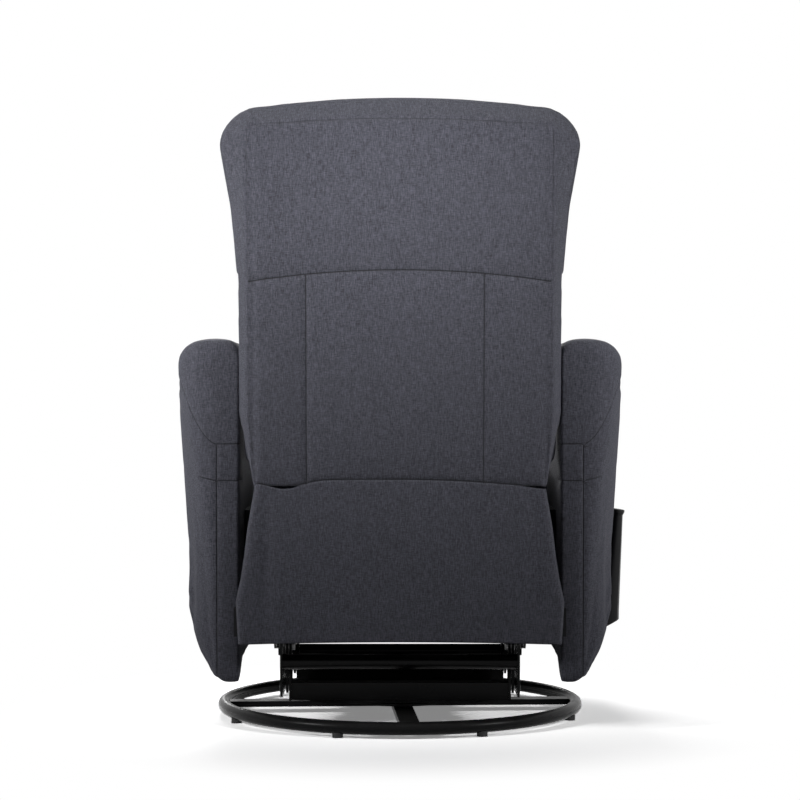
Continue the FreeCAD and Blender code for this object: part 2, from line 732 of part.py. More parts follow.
# Seat rails with their flange and pins

first_layer = rail_outer + 1
second_layer = first_layer + d.footrest_pitch
third_layer = second_layer + d.footrest_pitch
fourth_layer = third_layer + d.footrest_pitch
rivet_hole = d.footrest_pin + d.shaft_fit
rivet_head = d.footrest_pin * 2
clinch = d.footrest_pitch - d.footrest_sheet - d.running_gap


def make_seat_rail():
    """The steel side of the seat: web with the recline ear, and a flange under the boards."""
    body = new_body("seat_rail_left")
    outline = new_sketch(body, "Web", "YZ_Plane", rail_inner)
    ear_front = d.back_pivot_y - d.rail_ear_half
    ear_top = d.back_pivot_z + d.rail_ear_half
    front = -d.rail_front
    corner = d.rail_corner
    add_polygon(outline, [(d.rail_heel_y, d.rail_low), (d.rail_rear, d.rail_heel_z),
                          (d.rail_rear, ear_top - corner), (d.rail_rear - corner, ear_top),
                          (ear_front + corner, ear_top), (ear_front, ear_top - corner),
                          (ear_front, d.rail_top), (front, d.rail_top),
                          (front, d.rail_nose), (-d.drive_u * 2, d.rail_low)])
    pad(body, outline, d.sheet_thickness)
    flange = new_sketch(body, "Flange", "XY_Plane", d.rail_top - d.rail_flange)
    edge = d.arm_inner - d.soft_gap
    add_polygon(flange, [(rail_inner, front), (edge, front),
                         (edge, ear_front - 6), (rail_inner, ear_front - 6)])
    pad(body, flange, d.rail_flange)
    holes = new_sketch(body, "PivotHoles", "YZ_Plane", rail_inner)
    for y, z in ((rear_upper_y, rear_upper_z), (front_upper_y, front_upper_z),
                 (d.back_pivot_y, d.back_pivot_z)):
        add_circle(holes, y, z, pin_hole)
    for u, w in ((d.rear_pivot_u, d.rear_pivot_w), (d.front_pivot_u, d.front_pivot_w)):
        add_circle(holes, -u, w, rivet_hole)
    add_circle(holes, -d.drive_u, d.drive_w, d.drive_radius + d.shaft_fit)
    pocket(body, holes)
    return body


seat_rail = node(make_seat_rail(), "seat_rail_left")
node(mirrored("seat_rail_right", seat_rail), "seat_rail_right")

bracket_inner = rail_outer + 3
bracket_outer = bracket_inner + d.sheet_thickness
pins = []
for y, z in ((rear_upper_y, rear_upper_z), (front_upper_y, front_upper_z)):
    pins.append(make_pin("seat_pin", y, z, seat_link_inner - d.head_height, rail_outer + 0.5,
                         [(seat_link_inner - d.head_height, seat_link_inner - d.running_gap),
                          (rail_outer, rail_outer + 0.5)], d.pin_radius, d.head_radius))
pins.append(make_pin("back_pin", d.back_pivot_y, d.back_pivot_z, rail_inner - d.nut_height,
                     bracket_outer + d.nut_height,
                     [(rail_inner - d.nut_height, rail_inner),
                      (rail_outer, bracket_inner - d.running_gap),
                      (bracket_outer + d.running_gap, bracket_outer + d.nut_height)],
                     d.pin_radius, d.head_radius))
pins.append(make_pin("front_link_pin", -d.front_pivot_u, d.front_pivot_w,
                     rail_inner - d.head_height, second_layer - 0.2,
                     [(rail_inner - d.head_height, rail_inner),
                      (second_layer - clinch - 0.2, second_layer - 0.2)],
                     d.footrest_pin, rivet_head))
pins.append(make_pin("rear_link_pin", -d.rear_pivot_u, d.rear_pivot_w,
                     rail_inner - d.head_height, fourth_layer,
                     [(rail_inner - d.head_height, rail_inner),
                      (rail_outer, third_layer - d.running_gap),
                      (fourth_layer - clinch, fourth_layer)],
                     d.footrest_pin, rivet_head))
node(group("seat_rail_pins", pins + [mirrored("rail_pin_mirror", p) for p in pins]),
     "seat_rail_pins")

# Wooden seat box, straps and rear stretcher


def make_board(name, x, y, z):
    return node(block(name, x, y, z), name)


box_side = d.arm_inner - d.board_thickness
box_front = -d.board_front
for side_name, x in (("left", (box_side, d.arm_inner)), ("right", (-d.arm_inner, -box_side))):
    make_board(f"seat_board_{side_name}", x, (box_front, d.board_rear), (d.rail_top, d.board_top))
make_board("seat_board_front", (-box_side, box_side),
           (box_front, box_front + d.board_thickness), (d.front_board_low, d.board_top))
make_board("seat_board_rear", (-box_side, box_side),
           (d.board_rear - d.board_thickness, d.board_rear), (d.rail_top, d.board_top))
make_board("rear_stretcher", (-d.stretcher_width, d.stretcher_width),
           (d.arm_rear, d.arm_rear + d.stretcher_depth), (d.stretcher_low, d.stretcher_high))

strap_count = 5
straps = []
for i in range(strap_count):
    middle = box_side * (2 * (i + 0.5) / strap_count - 1)
    straps.append(block("strap", (middle - d.strap_width / 2, middle + d.strap_width / 2),
                        (box_front, d.board_rear),
                        (d.board_top, d.board_top + d.strap_thickness)))
node(group("seat_straps", straps), "seat_straps")

# Soft forms: sections of lines and arcs, lofted


def arc(start, middle, end):
    return Part.Arc(start, middle, end).toShape()


def line(start, end):
    return Part.LineSegment(start, end).toShape()


def loft(sections, ruled=False):
    return Part.makeLoft([Part.Wire(edges) for edges in sections], True, ruled)


def make_seat_cushion():
    """Crowned pad with a rounded nose, its sides drawn in; sections run from side to side."""
    low = d.board_top.value + d.strap_thickness.value + d.soft_gap.value
    nose = -(d.board_front + d.cushion_overhang).value
    rear = d.cushion_rear.value
    half = d.cushion_half_width.value
    sections = []
    for share in (-1, -0.94, -0.6, 0, 0.6, 0.94, 1):
        edge = abs(share) ** 4
        x = share * half
        top = d.cushion_crown.value + (d.cushion_edge.value - d.cushion_crown.value) * share ** 2
        top -= 16 * edge
        inset = 12 * edge
        front = nose + inset
        back = rear - inset / 2
        belly = (low + top) / 2
        sections.append([
            line(Vector(x, back, low + inset / 2), Vector(x, front + 30, low + inset / 2)),
            arc(Vector(x, front + 30, low + inset / 2), Vector(x, front + 6, low + 20),
                Vector(x, front, belly)),
            arc(Vector(x, front, belly), Vector(x, front + 17, top - 18),
                Vector(x, front + 62, top - 5)),
            arc(Vector(x, front + 62, top - 5), Vector(x, (front + back) / 2, top),
                Vector(x, back - 22, top - 12)),
            arc(Vector(x, back - 22, top - 12), Vector(x, back - 6, top - 18),
                Vector(x, back, top - 34)),
            line(Vector(x, back, top - 34), Vector(x, back, low + inset / 2)),
        ])
    return feature_from_shape("seat_cushion", loft(sections))


def arm_section(y, wide, high, low):
    """The arm cut across: flat inner face, rolled top, a side that draws in and turns under."""
    inner = d.arm_inner.value
    outer = inner + wide
    crown = high - d.arm_crown.value
    hip = d.arm_hip.value
    draw = d.arm_draw.value
    roll = d.arm_crown.value * 0.5

    def at(x, z):
        return Vector(x, y, z)

    edge = at(outer - draw, hip)
    turn = at(outer - wide * 0.42, low + (hip - low) * 0.18)
    foot = at(inner + wide * 0.30, low)
    return [
        line(at(inner, low + 4), at(inner, high - roll)),
        arc(at(inner, high - roll), at(inner + wide * 0.07, high - roll * 0.3),
            at(inner + wide * 0.26, high - 1)),
        arc(at(inner + wide * 0.26, high - 1), at(inner + wide * 0.5, high),
            at(inner + wide * 0.72, high - 3)),
        arc(at(inner + wide * 0.72, high - 3), at(outer - wide * 0.06, high - roll * 0.8),
            at(outer, crown)),
        arc(at(outer, crown), at(outer - draw * 0.56, (crown + hip) / 2), edge),
        arc(edge, at(outer - draw - wide * 0.09, low + (hip - low) * 0.52), turn),
        line(turn, foot),
        line(foot, at(inner, low + 4)),
    ]


def make_arm():
    """Padded arm: its rear corner runs down to a toe and its outer side swells forward."""
    wide = d.arm_outer.value - d.arm_inner.value
    narrow = d.arm_rear_width.value
    top = d.arm_top.value
    toe = d.arm_toe.value
    low = d.arm_underside.value
    rear = d.arm_rear.value
    front = -d.arm_front.value
    rear_round = d.arm_rear_round.value
    front_round = d.arm_front_round.value
    # place along the arm, share of the full width gained, height of the top, of the underside
    stations = [(rear, 0, top - 14, toe + 4)]
    for turn, rise in ((22, 0), (45, 0.12), (68, 0.5)):
        angle = math.radians(turn)
        stations.append((rear - rear_round * (1 - math.cos(angle)), math.sin(angle),
                         top - 14 * (1 - math.sin(angle)) ** 2, toe + (low - toe) * rise))
    stations += [(rear - rear_round, 1, top, toe + (low - toe) * 0.85),
                 (rear - 2 * rear_round, 1, top, low), (front + 2 * front_round, 1, top, low),
                 (front + front_round, 0.99, top - 5, low + 2),
                 (front + front_round * 0.3, 0.92, top - 18, low + 7),
                 (front, 0.72, top - 38, low + 16)]
    sections = [arm_section(y, narrow + (wide - narrow) * share, high, under)
                for y, share, high, under in stations]
    return feature_from_shape("arm_blank", loft(sections, ruled=True))


node(make_seat_cushion(), "seat_cushion")
arm_left = node(make_arm(), "arm_left")
arm_blank = mirrored("arm_blank_right", arm_left)
shaft_hole = rod_x("shaft_hole", -d.arm_outer - 20, -d.arm_inner + 20, -d.drive_u, d.drive_w,
                   d.arm_hole_radius)
node(cut("arm_right", arm_blank, shaft_hole), "arm_right")

# Pull lever: drive tube with two cranks and the moulded handle

crank_y = -d.drive_u - d.crank_reach_u
crank_z = d.drive_w + d.crank_reach_w
drive_y = -d.drive_u
lever_inner = -(d.arm_outer - d.lever_tuck)


def footrest_link(name, layer, runs, holes):
    return plate(name, layer, d.footrest_sheet, runs, holes, d.footrest_radius)


def with_studs(name, link, studs):
    """A link with the rivets that are staked into it."""
    return fuse(name, [link] + studs)


def stud(name, place, start, end, head_low, head_high, head=rivet_head):
    parts = [rod_x(name, start, end, place[0], place[1], d.footrest_pin)]
    parts.append(rod_x(name + "_head", head_low, head_high, place[0], place[1], head))
    return parts


def make_drive_tube():
    """Cross tube in the seat rails, a crank at each end and a shaft out to the lever."""
    shaft = rod_x("drive_shaft", lever_inner - d.shaft_in_lever,
                  third_layer + d.footrest_sheet, drive_y, d.drive_w, d.drive_radius)
    crank = footrest_link("crank", third_layer, [((drive_y, d.drive_w), (crank_y, crank_z))], [])
    set_on_left = fuse("crank_set", [crank] + stud(
        "crank_pin", (crank_y, crank_z), third_layer, fourth_layer + d.footrest_sheet + clinch,
        fourth_layer + d.footrest_sheet + d.running_gap / 2,
        fourth_layer + d.footrest_sheet + clinch))
    return fuse("drive_tube", [shaft, set_on_left, mirrored("crank_set_mirror", set_on_left)])


def make_lever():
    """Moulded paddle: thick at the hub, a wedge up to a small lip round its tip."""
    face = -(d.arm_outer + d.lever_face).value
    hub_z = d.drive_w.value
    y = -d.drive_u.value
    hub = d.lever_hub_radius.value
    length = d.lever_length.value
    half = d.lever_width.value / 2
    lip = d.lever_lip.value
    # height over the hub at the outer face and at the inner one, half width, standing out
    stations = [(-hub * 0.5, -hub * 1.15, half * 0.66, 0), (hub * 0.15, -hub * 0.1, half * 0.9, 0),
                (length * 0.33, length * 0.32, half * 0.92, 0), (length * 0.66, length * 0.65, half, 0),
                (length - 3 * lip, length - 3 * lip, half * 0.96, 0),
                (length - lip, length - lip, half * 0.92 + lip, lip),
                (length, length + lip, half * 0.78 + lip, lip)]
    sections = []
    for out_high, in_high, reach, stands in stations:
        share = max(out_high, 0) / length
        far = face - share * d.lever_lean.value - stands
        thick = (d.lever_hub_thickness.value
                 + (d.lever_tip_thickness.value - d.lever_hub_thickness.value) * share + stands)

        def at(depth, side):
            return Vector(far + thick * depth, y + reach * side,
                          hub_z + out_high + (in_high - out_high) * depth)

        sections.append([
            line(at(1, -0.8), at(1, 0.8)),
            arc(at(1, 0.8), at(0.6, 1), at(0.16, 0.84)),
            arc(at(0.16, 0.84), at(0, 0), at(0.16, -0.84)),
            arc(at(0.16, -0.84), at(0.6, -1), at(1, -0.8)),
        ])
    return feature_from_shape("lever_paddle", loft(sections, ruled=True))


node(make_drive_tube(), "drive_tube")
paddle_inner = -(d.arm_outer + d.lever_face - d.lever_hub_thickness)
boss = rod_x("lever_boss", paddle_inner - 1, lever_inner, drive_y, d.drive_w,
             d.lever_boss_radius)
socket = rod_x("lever_socket", lever_inner - d.shaft_in_lever, lever_inner + 1, drive_y,
               d.drive_w, d.drive_radius + d.shaft_fit)
node(cut("lever_handle", fuse("lever_blank", [make_lever(), boss]), socket), "lever_handle")

# Footrest linkage, one set on each side


rear_pivot = (-d.rear_pivot_u, d.rear_pivot_w)
front_pivot = (-d.front_pivot_u, d.front_pivot_w)
knee = (-d.knee_u, d.knee_w)
heel = (-d.heel_u, d.knee_w)
middle = (-d.mid_u, d.mid_w)
bracket_low = (-d.bracket_u, d.bracket_low_w)
bracket_high = (-d.bracket_u, d.bracket_high_w)
rod_pin = (-d.rod_pin_u, d.rod_pin_w)
knee_radius = d.footrest_radius + d.loose_first


front_link = footrest_link("front_link_plate", first_layer, [(front_pivot, knee)],
                           [(*front_pivot, rivet_hole)])
knee_head = third_layer - clinch
front_link = with_studs("front_link", front_link, stud(
    "knee_stud", knee, first_layer, third_layer - d.running_gap / 2,
    knee_head, third_layer - d.running_gap / 2, d.footrest_radius))
node(both_sides("front_links", front_link), "front_links")

rear_link = footrest_link("rear_link_plate", third_layer, [(rear_pivot, heel)],
                          [(*rear_pivot, rivet_hole)])
studs = stud("heel_stud", heel, second_layer - clinch, third_layer + 1,
             second_layer - clinch, second_layer - d.running_gap / 2)
studs += stud("middle_stud", middle, third_layer, fourth_layer + d.footrest_sheet + clinch,
              fourth_layer + d.footrest_sheet + d.running_gap / 2,
              fourth_layer + d.footrest_sheet + clinch)
studs += stud("rod_stud", rod_pin, third_layer, fourth_layer + d.footrest_sheet + clinch,
              fourth_layer + d.footrest_sheet + d.running_gap / 2,
              fourth_layer + d.footrest_sheet + clinch)
rear_link = with_studs("rear_link", rear_link, studs)
node(both_sides("rear_links", rear_link), "rear_links")

outer_link = new_body("outer_link_plate")
for start, end, radius in ((heel, knee, knee_radius), (knee, bracket_low, d.footrest_radius)):
    bar = new_sketch(outer_link, "Bar", "YZ_Plane", second_layer)
    add_obround(bar, start, end, radius)
    pad(outer_link, bar, d.footrest_sheet)
drilling = new_sketch(outer_link, "Holes", "YZ_Plane", second_layer)
add_circle(drilling, *heel, rivet_hole)
add_circle(drilling, *knee, d.footrest_pin + d.loose_first)
pocket(outer_link, drilling)
outer_link = with_studs("outer_link", outer_link, stud(
    "bracket_stud", bracket_low, second_layer, fourth_layer - d.running_gap / 2,
    fourth_layer - clinch, fourth_layer - d.running_gap / 2))
node(both_sides("outer_links", outer_link), "outer_links")

inner_link = footrest_link("inner_link_plate", fourth_layer, [(middle, bracket_high)],
                           [(*middle, rivet_hole),
                            (*bracket_high, d.footrest_pin + d.loose_second)])
node(both_sides("inner_links", inner_link), "inner_links")

drive_rod = footrest_link("drive_rod", fourth_layer, [((crank_y, crank_z), rod_pin)],
                          [(crank_y, crank_z, d.footrest_pin + d.loose_rod),
                           (*rod_pin, rivet_hole)])
node(both_sides("drive_rods", drive_rod), "drive_rods")

# Footrest: brackets, board and pad

board_rear_y = box_front - d.board_gap
board_face_y = board_rear_y - d.ottoman_board_thickness


def make_ottoman_bracket():
    """Pressed angle: a web on the two pivots and a flange on the footrest board."""
    body = new_body("ottoman_bracket")
    web = new_sketch(body, "Web", "YZ_Plane", third_layer)
    reach = d.footrest_radius
    rear = -d.bracket_u + reach
    low = d.bracket_low_w - reach
    high = d.bracket_high_w + reach
    add_polygon(web, [(rear, low + 4), (rear, high - 4), (rear - 4, high), (board_rear_y, high),
                      (board_rear_y, low), (rear - 4, low)])
    pad(body, web, d.footrest_sheet)
    flange = new_sketch(body, "Flange", "XY_Plane", low)
    tab = third_layer - 34
    add_polygon(flange, [(tab, board_rear_y), (third_layer, board_rear_y),
                         (third_layer, board_rear_y + 3), (tab, board_rear_y + 3)])
    pad(body, flange, high - low)
    holes = new_sketch(body, "Holes", "YZ_Plane", third_layer)
    add_circle(holes, *bracket_low, rivet_hole)
    pocket(body, holes)
    pin = stud("upper_stud", bracket_high, third_layer,
               fourth_layer + d.footrest_sheet + clinch,
               fourth_layer + d.footrest_sheet + d.running_gap / 2,
               fourth_layer + d.footrest_sheet + clinch)
    return with_studs("ottoman_bracket_riveted", body, pin)


def make_ottoman_pad():
    """Crowned pad on the board's face, thinner and drawn in at its edges."""
    face = board_face_y.value - d.soft_gap.value
    half = d.ottoman_half.value
    low = d.ottoman_low.value
    high = d.ottoman_high.value
    sections = []
    for share in (-1, -0.93, -0.5, 0, 0.5, 0.93, 1):
        edge = abs(share) ** 6
        x = share * half
        bottom = low + 14 * edge
        top = high - 14 * edge
        rim = face - d.ottoman_edge.value * (1 - 0.35 * edge)
        crown = face - d.ottoman_crown.value + 10 * share ** 2 + 10 * edge
        centre = (bottom + top) / 2
        sections.append([
            line(Vector(x, face, bottom + 4), Vector(x, face, top - 4)),
            arc(Vector(x, face, top - 4), Vector(x, (face + rim) / 2, top),
                Vector(x, rim, top - 8)),
            arc(Vector(x, rim, top - 8), Vector(x, crown, centre), Vector(x, rim, bottom + 8)),
            arc(Vector(x, rim, bottom + 8), Vector(x, (face + rim) / 2, bottom),
                Vector(x, face, bottom + 4)),
        ])
    return feature_from_shape("ottoman_pad", loft(sections))


node(both_sides("ottoman_brackets", make_ottoman_bracket()), "ottoman_brackets")
half = d.ottoman_board_half
make_board("ottoman_board", (-half, half), (board_face_y, board_rear_y),
           (d.ottoman_board_low, d.ottoman_board_high))
node(make_ottoman_pad(), "ottoman_pad")

# Back: everything here is modelled upright about the recline axis and then leans back


def lean_back(thing):
    thing.Placement.Rotation = FreeCAD.Rotation(Vector(-1, 0, 0), 1)
    bind(thing, "Placement.Base.y", d.back_pivot_y)
    bind(thing, "Placement.Base.z", d.back_pivot_z)
    bind(thing, "Placement.Rotation.Angle", d.back_lean)
    return thing


cover_front = d.cover_rear - d.cover_depth
frame_rear = d.cover_rear - d.cover_wall
post_inner = bracket_outer
post_outer = post_inner + d.post_width


def make_back_bracket():
    """Steel elbow from the recline pin up the inner side of a post."""
    place = (ZERO, ZERO)
    bend_y = (cover_front + frame_rear) / 2
    bend = (bend_y, d.post_low + d.bracket_radius)
    top = (bend_y, d.bracket_reach)
    return plate("back_bracket", bracket_inner, d.sheet_thickness, [(place, bend), (bend, top)],
                 [(ZERO, ZERO, pin_hole)], d.bracket_radius)


def outline(y, low, halves, high, arch, corner):
    """The back seen from behind, closed, at one depth: halves are the (height, half width)
    of its sides from the lower edge up, then come rounded corners and an arched top."""

    def at(side, x, z):
        return Vector(side * x, y(z), z)

    shoulder_half, shoulder = halves[-1][1], high - arch - corner * 0.84
    heights = [(low, halves[0][1])] + list(halves[1:-1]) + [(shoulder, shoulder_half)]
    turn = (shoulder_half - corner * 0.26, shoulder + corner * 0.54)
    flat = (shoulder_half - corner, high - arch)
    edges = [line(at(-1, heights[0][1], low), at(1, heights[0][1], low))]
    for below, above in zip(heights, heights[1:]):
        edges.append(line(at(1, below[1], below[0]), at(1, above[1], above[0])))
    edges.append(arc(at(1, shoulder_half, shoulder), at(1, *turn), at(1, *flat)))
    edges.append(arc(at(1, *flat), at(1, 0, high), at(-1, *flat)))
    edges.append(arc(at(-1, *flat), at(-1, *turn), at(-1, shoulder_half, shoulder)))
    for above, below in zip(heights[::-1], heights[-2::-1]):
        edges.append(line(at(-1, above[1], above[0]), at(-1, below[1], below[0])))
    return edges


def band_sides(shrink):
    """Heights and half widths of the side bands' front edge."""
    return [(0, d.band_half_low.value - shrink), (d.hip_height.value, d.band_half.value - shrink),
            (d.waist_height.value, d.band_half.value - shrink),
            (d.wing_start.value, d.wing_start_half.value - shrink),
            (0, d.wing_half.value - shrink)]


def panel_sides(shrink):
    """Heights and half widths of the rear panel."""
    full = d.panel_half.value - shrink
    return [(0, d.panel_half_low.value - shrink), (d.hip_height.value, full),
            (d.waist_height.value, full), (d.wing_start.value, full), (0, full)]


def make_back_cover():
    """The padded outside back: a flat rear panel and bands that splay out to its front edge,
    open to the front and below."""
    low = d.cover_low.value
    wall = d.cover_wall.value
    front = cover_front.value
    rear = d.cover_rear.value

    def shell(shrink, low, front, rear):
        panel = outline(lambda z: rear, low, panel_sides(shrink), d.panel_high.value - shrink,
                        d.panel_arch.value, d.panel_corner.value)
        band = outline(lambda z: front, low, band_sides(shrink), d.band_high.value - shrink,
                       d.band_arch.value, d.band_corner.value)
        return loft([band, panel], ruled=True)

    inside = shell(wall, low - wall, front - 1, rear - wall)
    return feature_from_shape("back_cover", shell(0, low, front, rear).cut(inside))


def cushion_section(z, half, front, rear, corner):
    """A cushion cut across at one height: flat rear and sides, full front, round corners."""
    side = half - corner
    drawn = corner * (1 - math.sqrt(0.5))
    crown = front + d.cushion_fullness.value

    def at(x, y):
        return Vector(x, y, z)

    return [
        line(at(-side, rear), at(side, rear)),
        arc(at(side, rear), at(half - drawn, rear - drawn), at(half, rear - corner)),
        line(at(half, rear - corner), at(half, crown + corner)),
        arc(at(half, crown + corner), at(half - drawn, crown + drawn), at(side, crown)),
        arc(at(side, crown), at(0, front), at(-side, crown)),
        arc(at(-side, crown), at(drawn - half, crown + drawn), at(-half, crown + corner)),
        line(at(-half, crown + corner), at(-half, rear - corner)),
        arc(at(-half, rear - corner), at(drawn - half, rear - drawn), at(-side, rear)),
    ]


def make_back_cushion():
    """Back cushion from the seat to the upper seam."""
    rear = cover_front.value - d.soft_gap.value
    low = d.back_cushion_low.value
    high = d.waist_height.value - d.soft_gap.value
    half = d.back_cushion_half.value
    front_low = -d.back_front_low.value
    front_high = -d.back_front_split.value
    middle = (low + high) / 2
    belly = (front_low + front_high) / 2 - 8
    levels = [(low, half - 14, front_low + 26), (low + 8, half - 4, front_low + 10),
              (low + 30, half, front_low), (middle, half, belly),
              (high - 30, half, front_high), (high - 8, half - 3, front_high + 9),
              (high, half - 10, front_high + 22)]
    return feature_from_shape("back_cushion", loft(
        [cushion_section(z, wide, front, rear, d.cushion_corner.value)
         for z, wide, front in levels], ruled=True))


def make_head_cushion():
    """Head cushion from the upper seam up, with its wings: outlines from rear to front."""
    rear = cover_front.value - d.soft_gap.value
    low = d.waist_height.value
    high = d.band_high.value
    full = d.head_fullness.value
    roll = d.head_roll.value
    front_low = -d.back_front_split.value
    front_high = -d.back_front_top.value
    # depth as a share of the way to the face, how far the outline is drawn in
    steps = [(0, 3), (0.12, 0), (0.3, -full), (0.55, -full), (0.75, roll * 0.12),
             (0.9, roll * 0.42), (1, roll)]
    sections = []
    for share, shrink in steps:

        def depth(z):
            face = front_low + (front_high - front_low) * (z - low) / (high - low)
            return rear + (face - rear) * share

        sides = [(0, d.band_half.value - shrink), (d.wing_start.value,
                 d.wing_start_half.value - shrink), (0, d.wing_half.value - shrink)]
        sections.append(outline(depth, low + max(shrink, 0), sides, high - shrink,
                                d.band_arch.value, d.band_corner.value))
    return feature_from_shape("head_cushion", loft(sections, ruled=True))


bracket = make_back_bracket()
node(lean_back(both_sides("back_brackets", bracket)), "back_brackets")
frame_front = cover_front + 1


def make_back_board(name, x, z):
    board = block(name + "_board", x, (frame_front, frame_rear), z)
    node(lean_back(group(name, [board])), name)


make_back_board("back_post_left", (post_inner, post_outer), (d.post_low, d.post_high))
make_back_board("back_post_right", (-post_outer, -post_inner), (d.post_low, d.post_high))
make_back_board("back_top_rail", (-post_inner, post_inner),
                (d.post_high - d.back_rail_height, d.post_high))
make_back_board("back_lower_rail", (-bracket_inner, bracket_inner),
                (d.post_low, d.post_low + d.back_rail_height))
node(lean_back(make_back_cover()), "back_cover")
node(lean_back(make_back_cushion()), "back_cushion")
node(lean_back(make_head_cushion()), "head_cushion")

# Rear skirt between the back and the stretcher


def make_skirt():
    """Cloth flap with a flared lower part, hanging from the back to below the stretcher."""
    lean = math.radians(d.back_lean.value)
    rear = d.cover_rear.value
    low = d.cover_low.value
    top_y = d.back_pivot_y.value + rear * math.cos(lean) + low * math.sin(lean)
    top_z = (d.back_pivot_z.value - rear * math.sin(lean) + low * math.cos(lean)
             - d.soft_gap.value)
    hem_y = d.arm_rear.value + d.stretcher_depth.value + d.soft_gap.value
    thick = d.skirt_thickness.value
    levels = [(d.skirt_low.value, d.skirt_half_low.value, hem_y),
              (d.skirt_flare_z.value, d.skirt_half_low.value, hem_y + 1),
              ((d.skirt_flare_z.value + top_z) / 2, (d.skirt_half_low.value
               + d.skirt_half_high.value) / 2 - 3, (hem_y + top_y - thick) / 2 + 4),
              (top_z, d.skirt_half_high.value, top_y - thick)]
    sections = []
    for z, half, y in levels:
        sections.append([
            line(Vector(-half, y, z), Vector(half, y, z)),
            line(Vector(half, y, z), Vector(half, y + thick, z)),
            arc(Vector(half, y + thick, z), Vector(0, y + thick + 4, z),
                Vector(-half, y + thick, z)),
            line(Vector(-half, y + thick, z), Vector(-half, y, z)),
        ])
    return feature_from_shape("back_skirt", loft(sections, ruled=True))


node(make_skirt(), "back_skirt")

# Check every object, then write the sub-parts

doc.recompute()
for thing in doc.Objects:
    if "Invalid" in thing.State or "Error" in thing.State:
        raise RuntimeError(f"{thing.Label} failed: {thing.State}")
os.makedirs("parts", exist_ok=True)
for thing in nodes:
    shape = thing.Shape
    if shape.isNull() or not shape.isValid() or shape.Volume <= 0:
        raise RuntimeError(f"{thing.Label} has no sound solid")
    shape.exportStep(f"parts/{thing.Label}.step")
    print(f"{thing.Label}: {len(shape.Solids)} solids, {shape.Volume / 1000:.1f} cm3")
print(len(nodes), "sub-parts")
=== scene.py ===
import math

import bpy
import numpy as np
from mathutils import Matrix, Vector


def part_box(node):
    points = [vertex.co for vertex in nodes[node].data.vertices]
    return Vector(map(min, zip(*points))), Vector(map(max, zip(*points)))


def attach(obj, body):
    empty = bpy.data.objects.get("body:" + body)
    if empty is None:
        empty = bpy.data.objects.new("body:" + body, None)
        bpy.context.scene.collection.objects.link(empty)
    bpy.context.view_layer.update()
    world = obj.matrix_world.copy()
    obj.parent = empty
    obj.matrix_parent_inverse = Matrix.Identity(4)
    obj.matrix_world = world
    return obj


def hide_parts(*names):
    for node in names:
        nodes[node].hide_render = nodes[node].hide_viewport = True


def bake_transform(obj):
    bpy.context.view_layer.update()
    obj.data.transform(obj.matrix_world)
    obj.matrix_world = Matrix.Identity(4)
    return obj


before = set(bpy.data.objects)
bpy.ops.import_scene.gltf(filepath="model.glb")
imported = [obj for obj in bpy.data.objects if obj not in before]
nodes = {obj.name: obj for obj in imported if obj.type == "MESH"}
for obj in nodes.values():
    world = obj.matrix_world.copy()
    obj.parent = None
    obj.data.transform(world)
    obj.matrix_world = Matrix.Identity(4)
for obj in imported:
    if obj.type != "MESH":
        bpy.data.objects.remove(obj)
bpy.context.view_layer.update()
scene = bpy.context.scene


# Camera
# The chair is seen square from behind, from the height of its arms, with a long lens. Its
# front faces -Y, and the floor is at nought.
camera_place = (0.0, 3.75, 0.55)
camera_data = bpy.data.cameras.new("camera")
camera_data.lens = 95.5
camera_data.sensor_width = 36.0
camera = bpy.data.objects.new("camera", camera_data)
camera.location = camera_place
camera.rotation_euler = (math.radians(90), 0, math.radians(180))
scene.collection.objects.link(camera)
scene.camera = camera
scene.view_settings.view_transform = "Standard"


# Studio
# Narrow lamps light the upper back and the two arms, so that the chair darkens downwards,
# and a broad one lights its front. The floor keeps the shadow and fades into a white room.
white = (1.0, 1.0, 1.0, 1.0)
room_light = 0.02
floor_size = 60
floor_seen = (3.0, 3.0, 3.0, 1.0)
floor_bounce = (0.05, 0.05, 0.05, 1.0)
floor_lift = 0.22
fade_near = 0.33
fade_far = 0.72


def soft_lamp(name, place, aim, size, power, spread=180):
    """A square soft lamp that points at one spot, with a grid that narrows its light."""
    data = bpy.data.lights.new(name, "AREA")
    data.shape = "SQUARE"
    data.size = size
    data.energy = power
    data.spread = math.radians(spread)
    lamp = bpy.data.objects.new(name, data)
    lamp.location = place
    lamp.rotation_euler = (Vector(aim) - Vector(place)).to_track_quat("-Z", "Y").to_euler()
    scene.collection.objects.link(lamp)


soft_lamp("key_lamp", (0.25, 2.3, 0.90), (0.0, 0.33, 1.07), 0.5, 2.6, 36)
soft_lamp("left_lamp", (2.0, 1.3, 1.2), (0.34, 0.15, 0.64), 0.5, 3.1, 40)
soft_lamp("right_lamp", (-2.1, 1.2, 1.2), (-0.34, 0.15, 0.64), 0.5, 2.2, 40)
soft_lamp("front_lamp", (0.4, -2.8, 1.5), (0.0, -0.1, 0.6), 1.2, 24, 110)


def node_of(tree, kind, **inputs):
    """Adds a shader node and sets the plain values of its inputs."""
    made = tree.nodes.new(kind)
    for label, value in inputs.items():
        made.inputs[label.replace("_", " ")].default_value = value
    return made


def calc(tree, operation, *values):
    """Adds a Math node on sockets or numbers and returns its output."""
    made = tree.nodes.new("ShaderNodeMath")
    made.operation = operation
    for socket, value in zip(made.inputs, values):
        if isinstance(value, bpy.types.NodeSocket):
            tree.links.new(value, socket)
        else:
            socket.default_value = value
    return made.outputs[0]


def background_rays(tree):
    """One where a ray comes from the camera, a mirror or glass, else nought."""
    path = tree.nodes.new("ShaderNodeLightPath")
    seen = calc(tree, "MAXIMUM", path.outputs["Is Camera Ray"], path.outputs["Is Glossy Ray"])
    return calc(tree, "MAXIMUM", seen, path.outputs["Is Transmission Ray"])


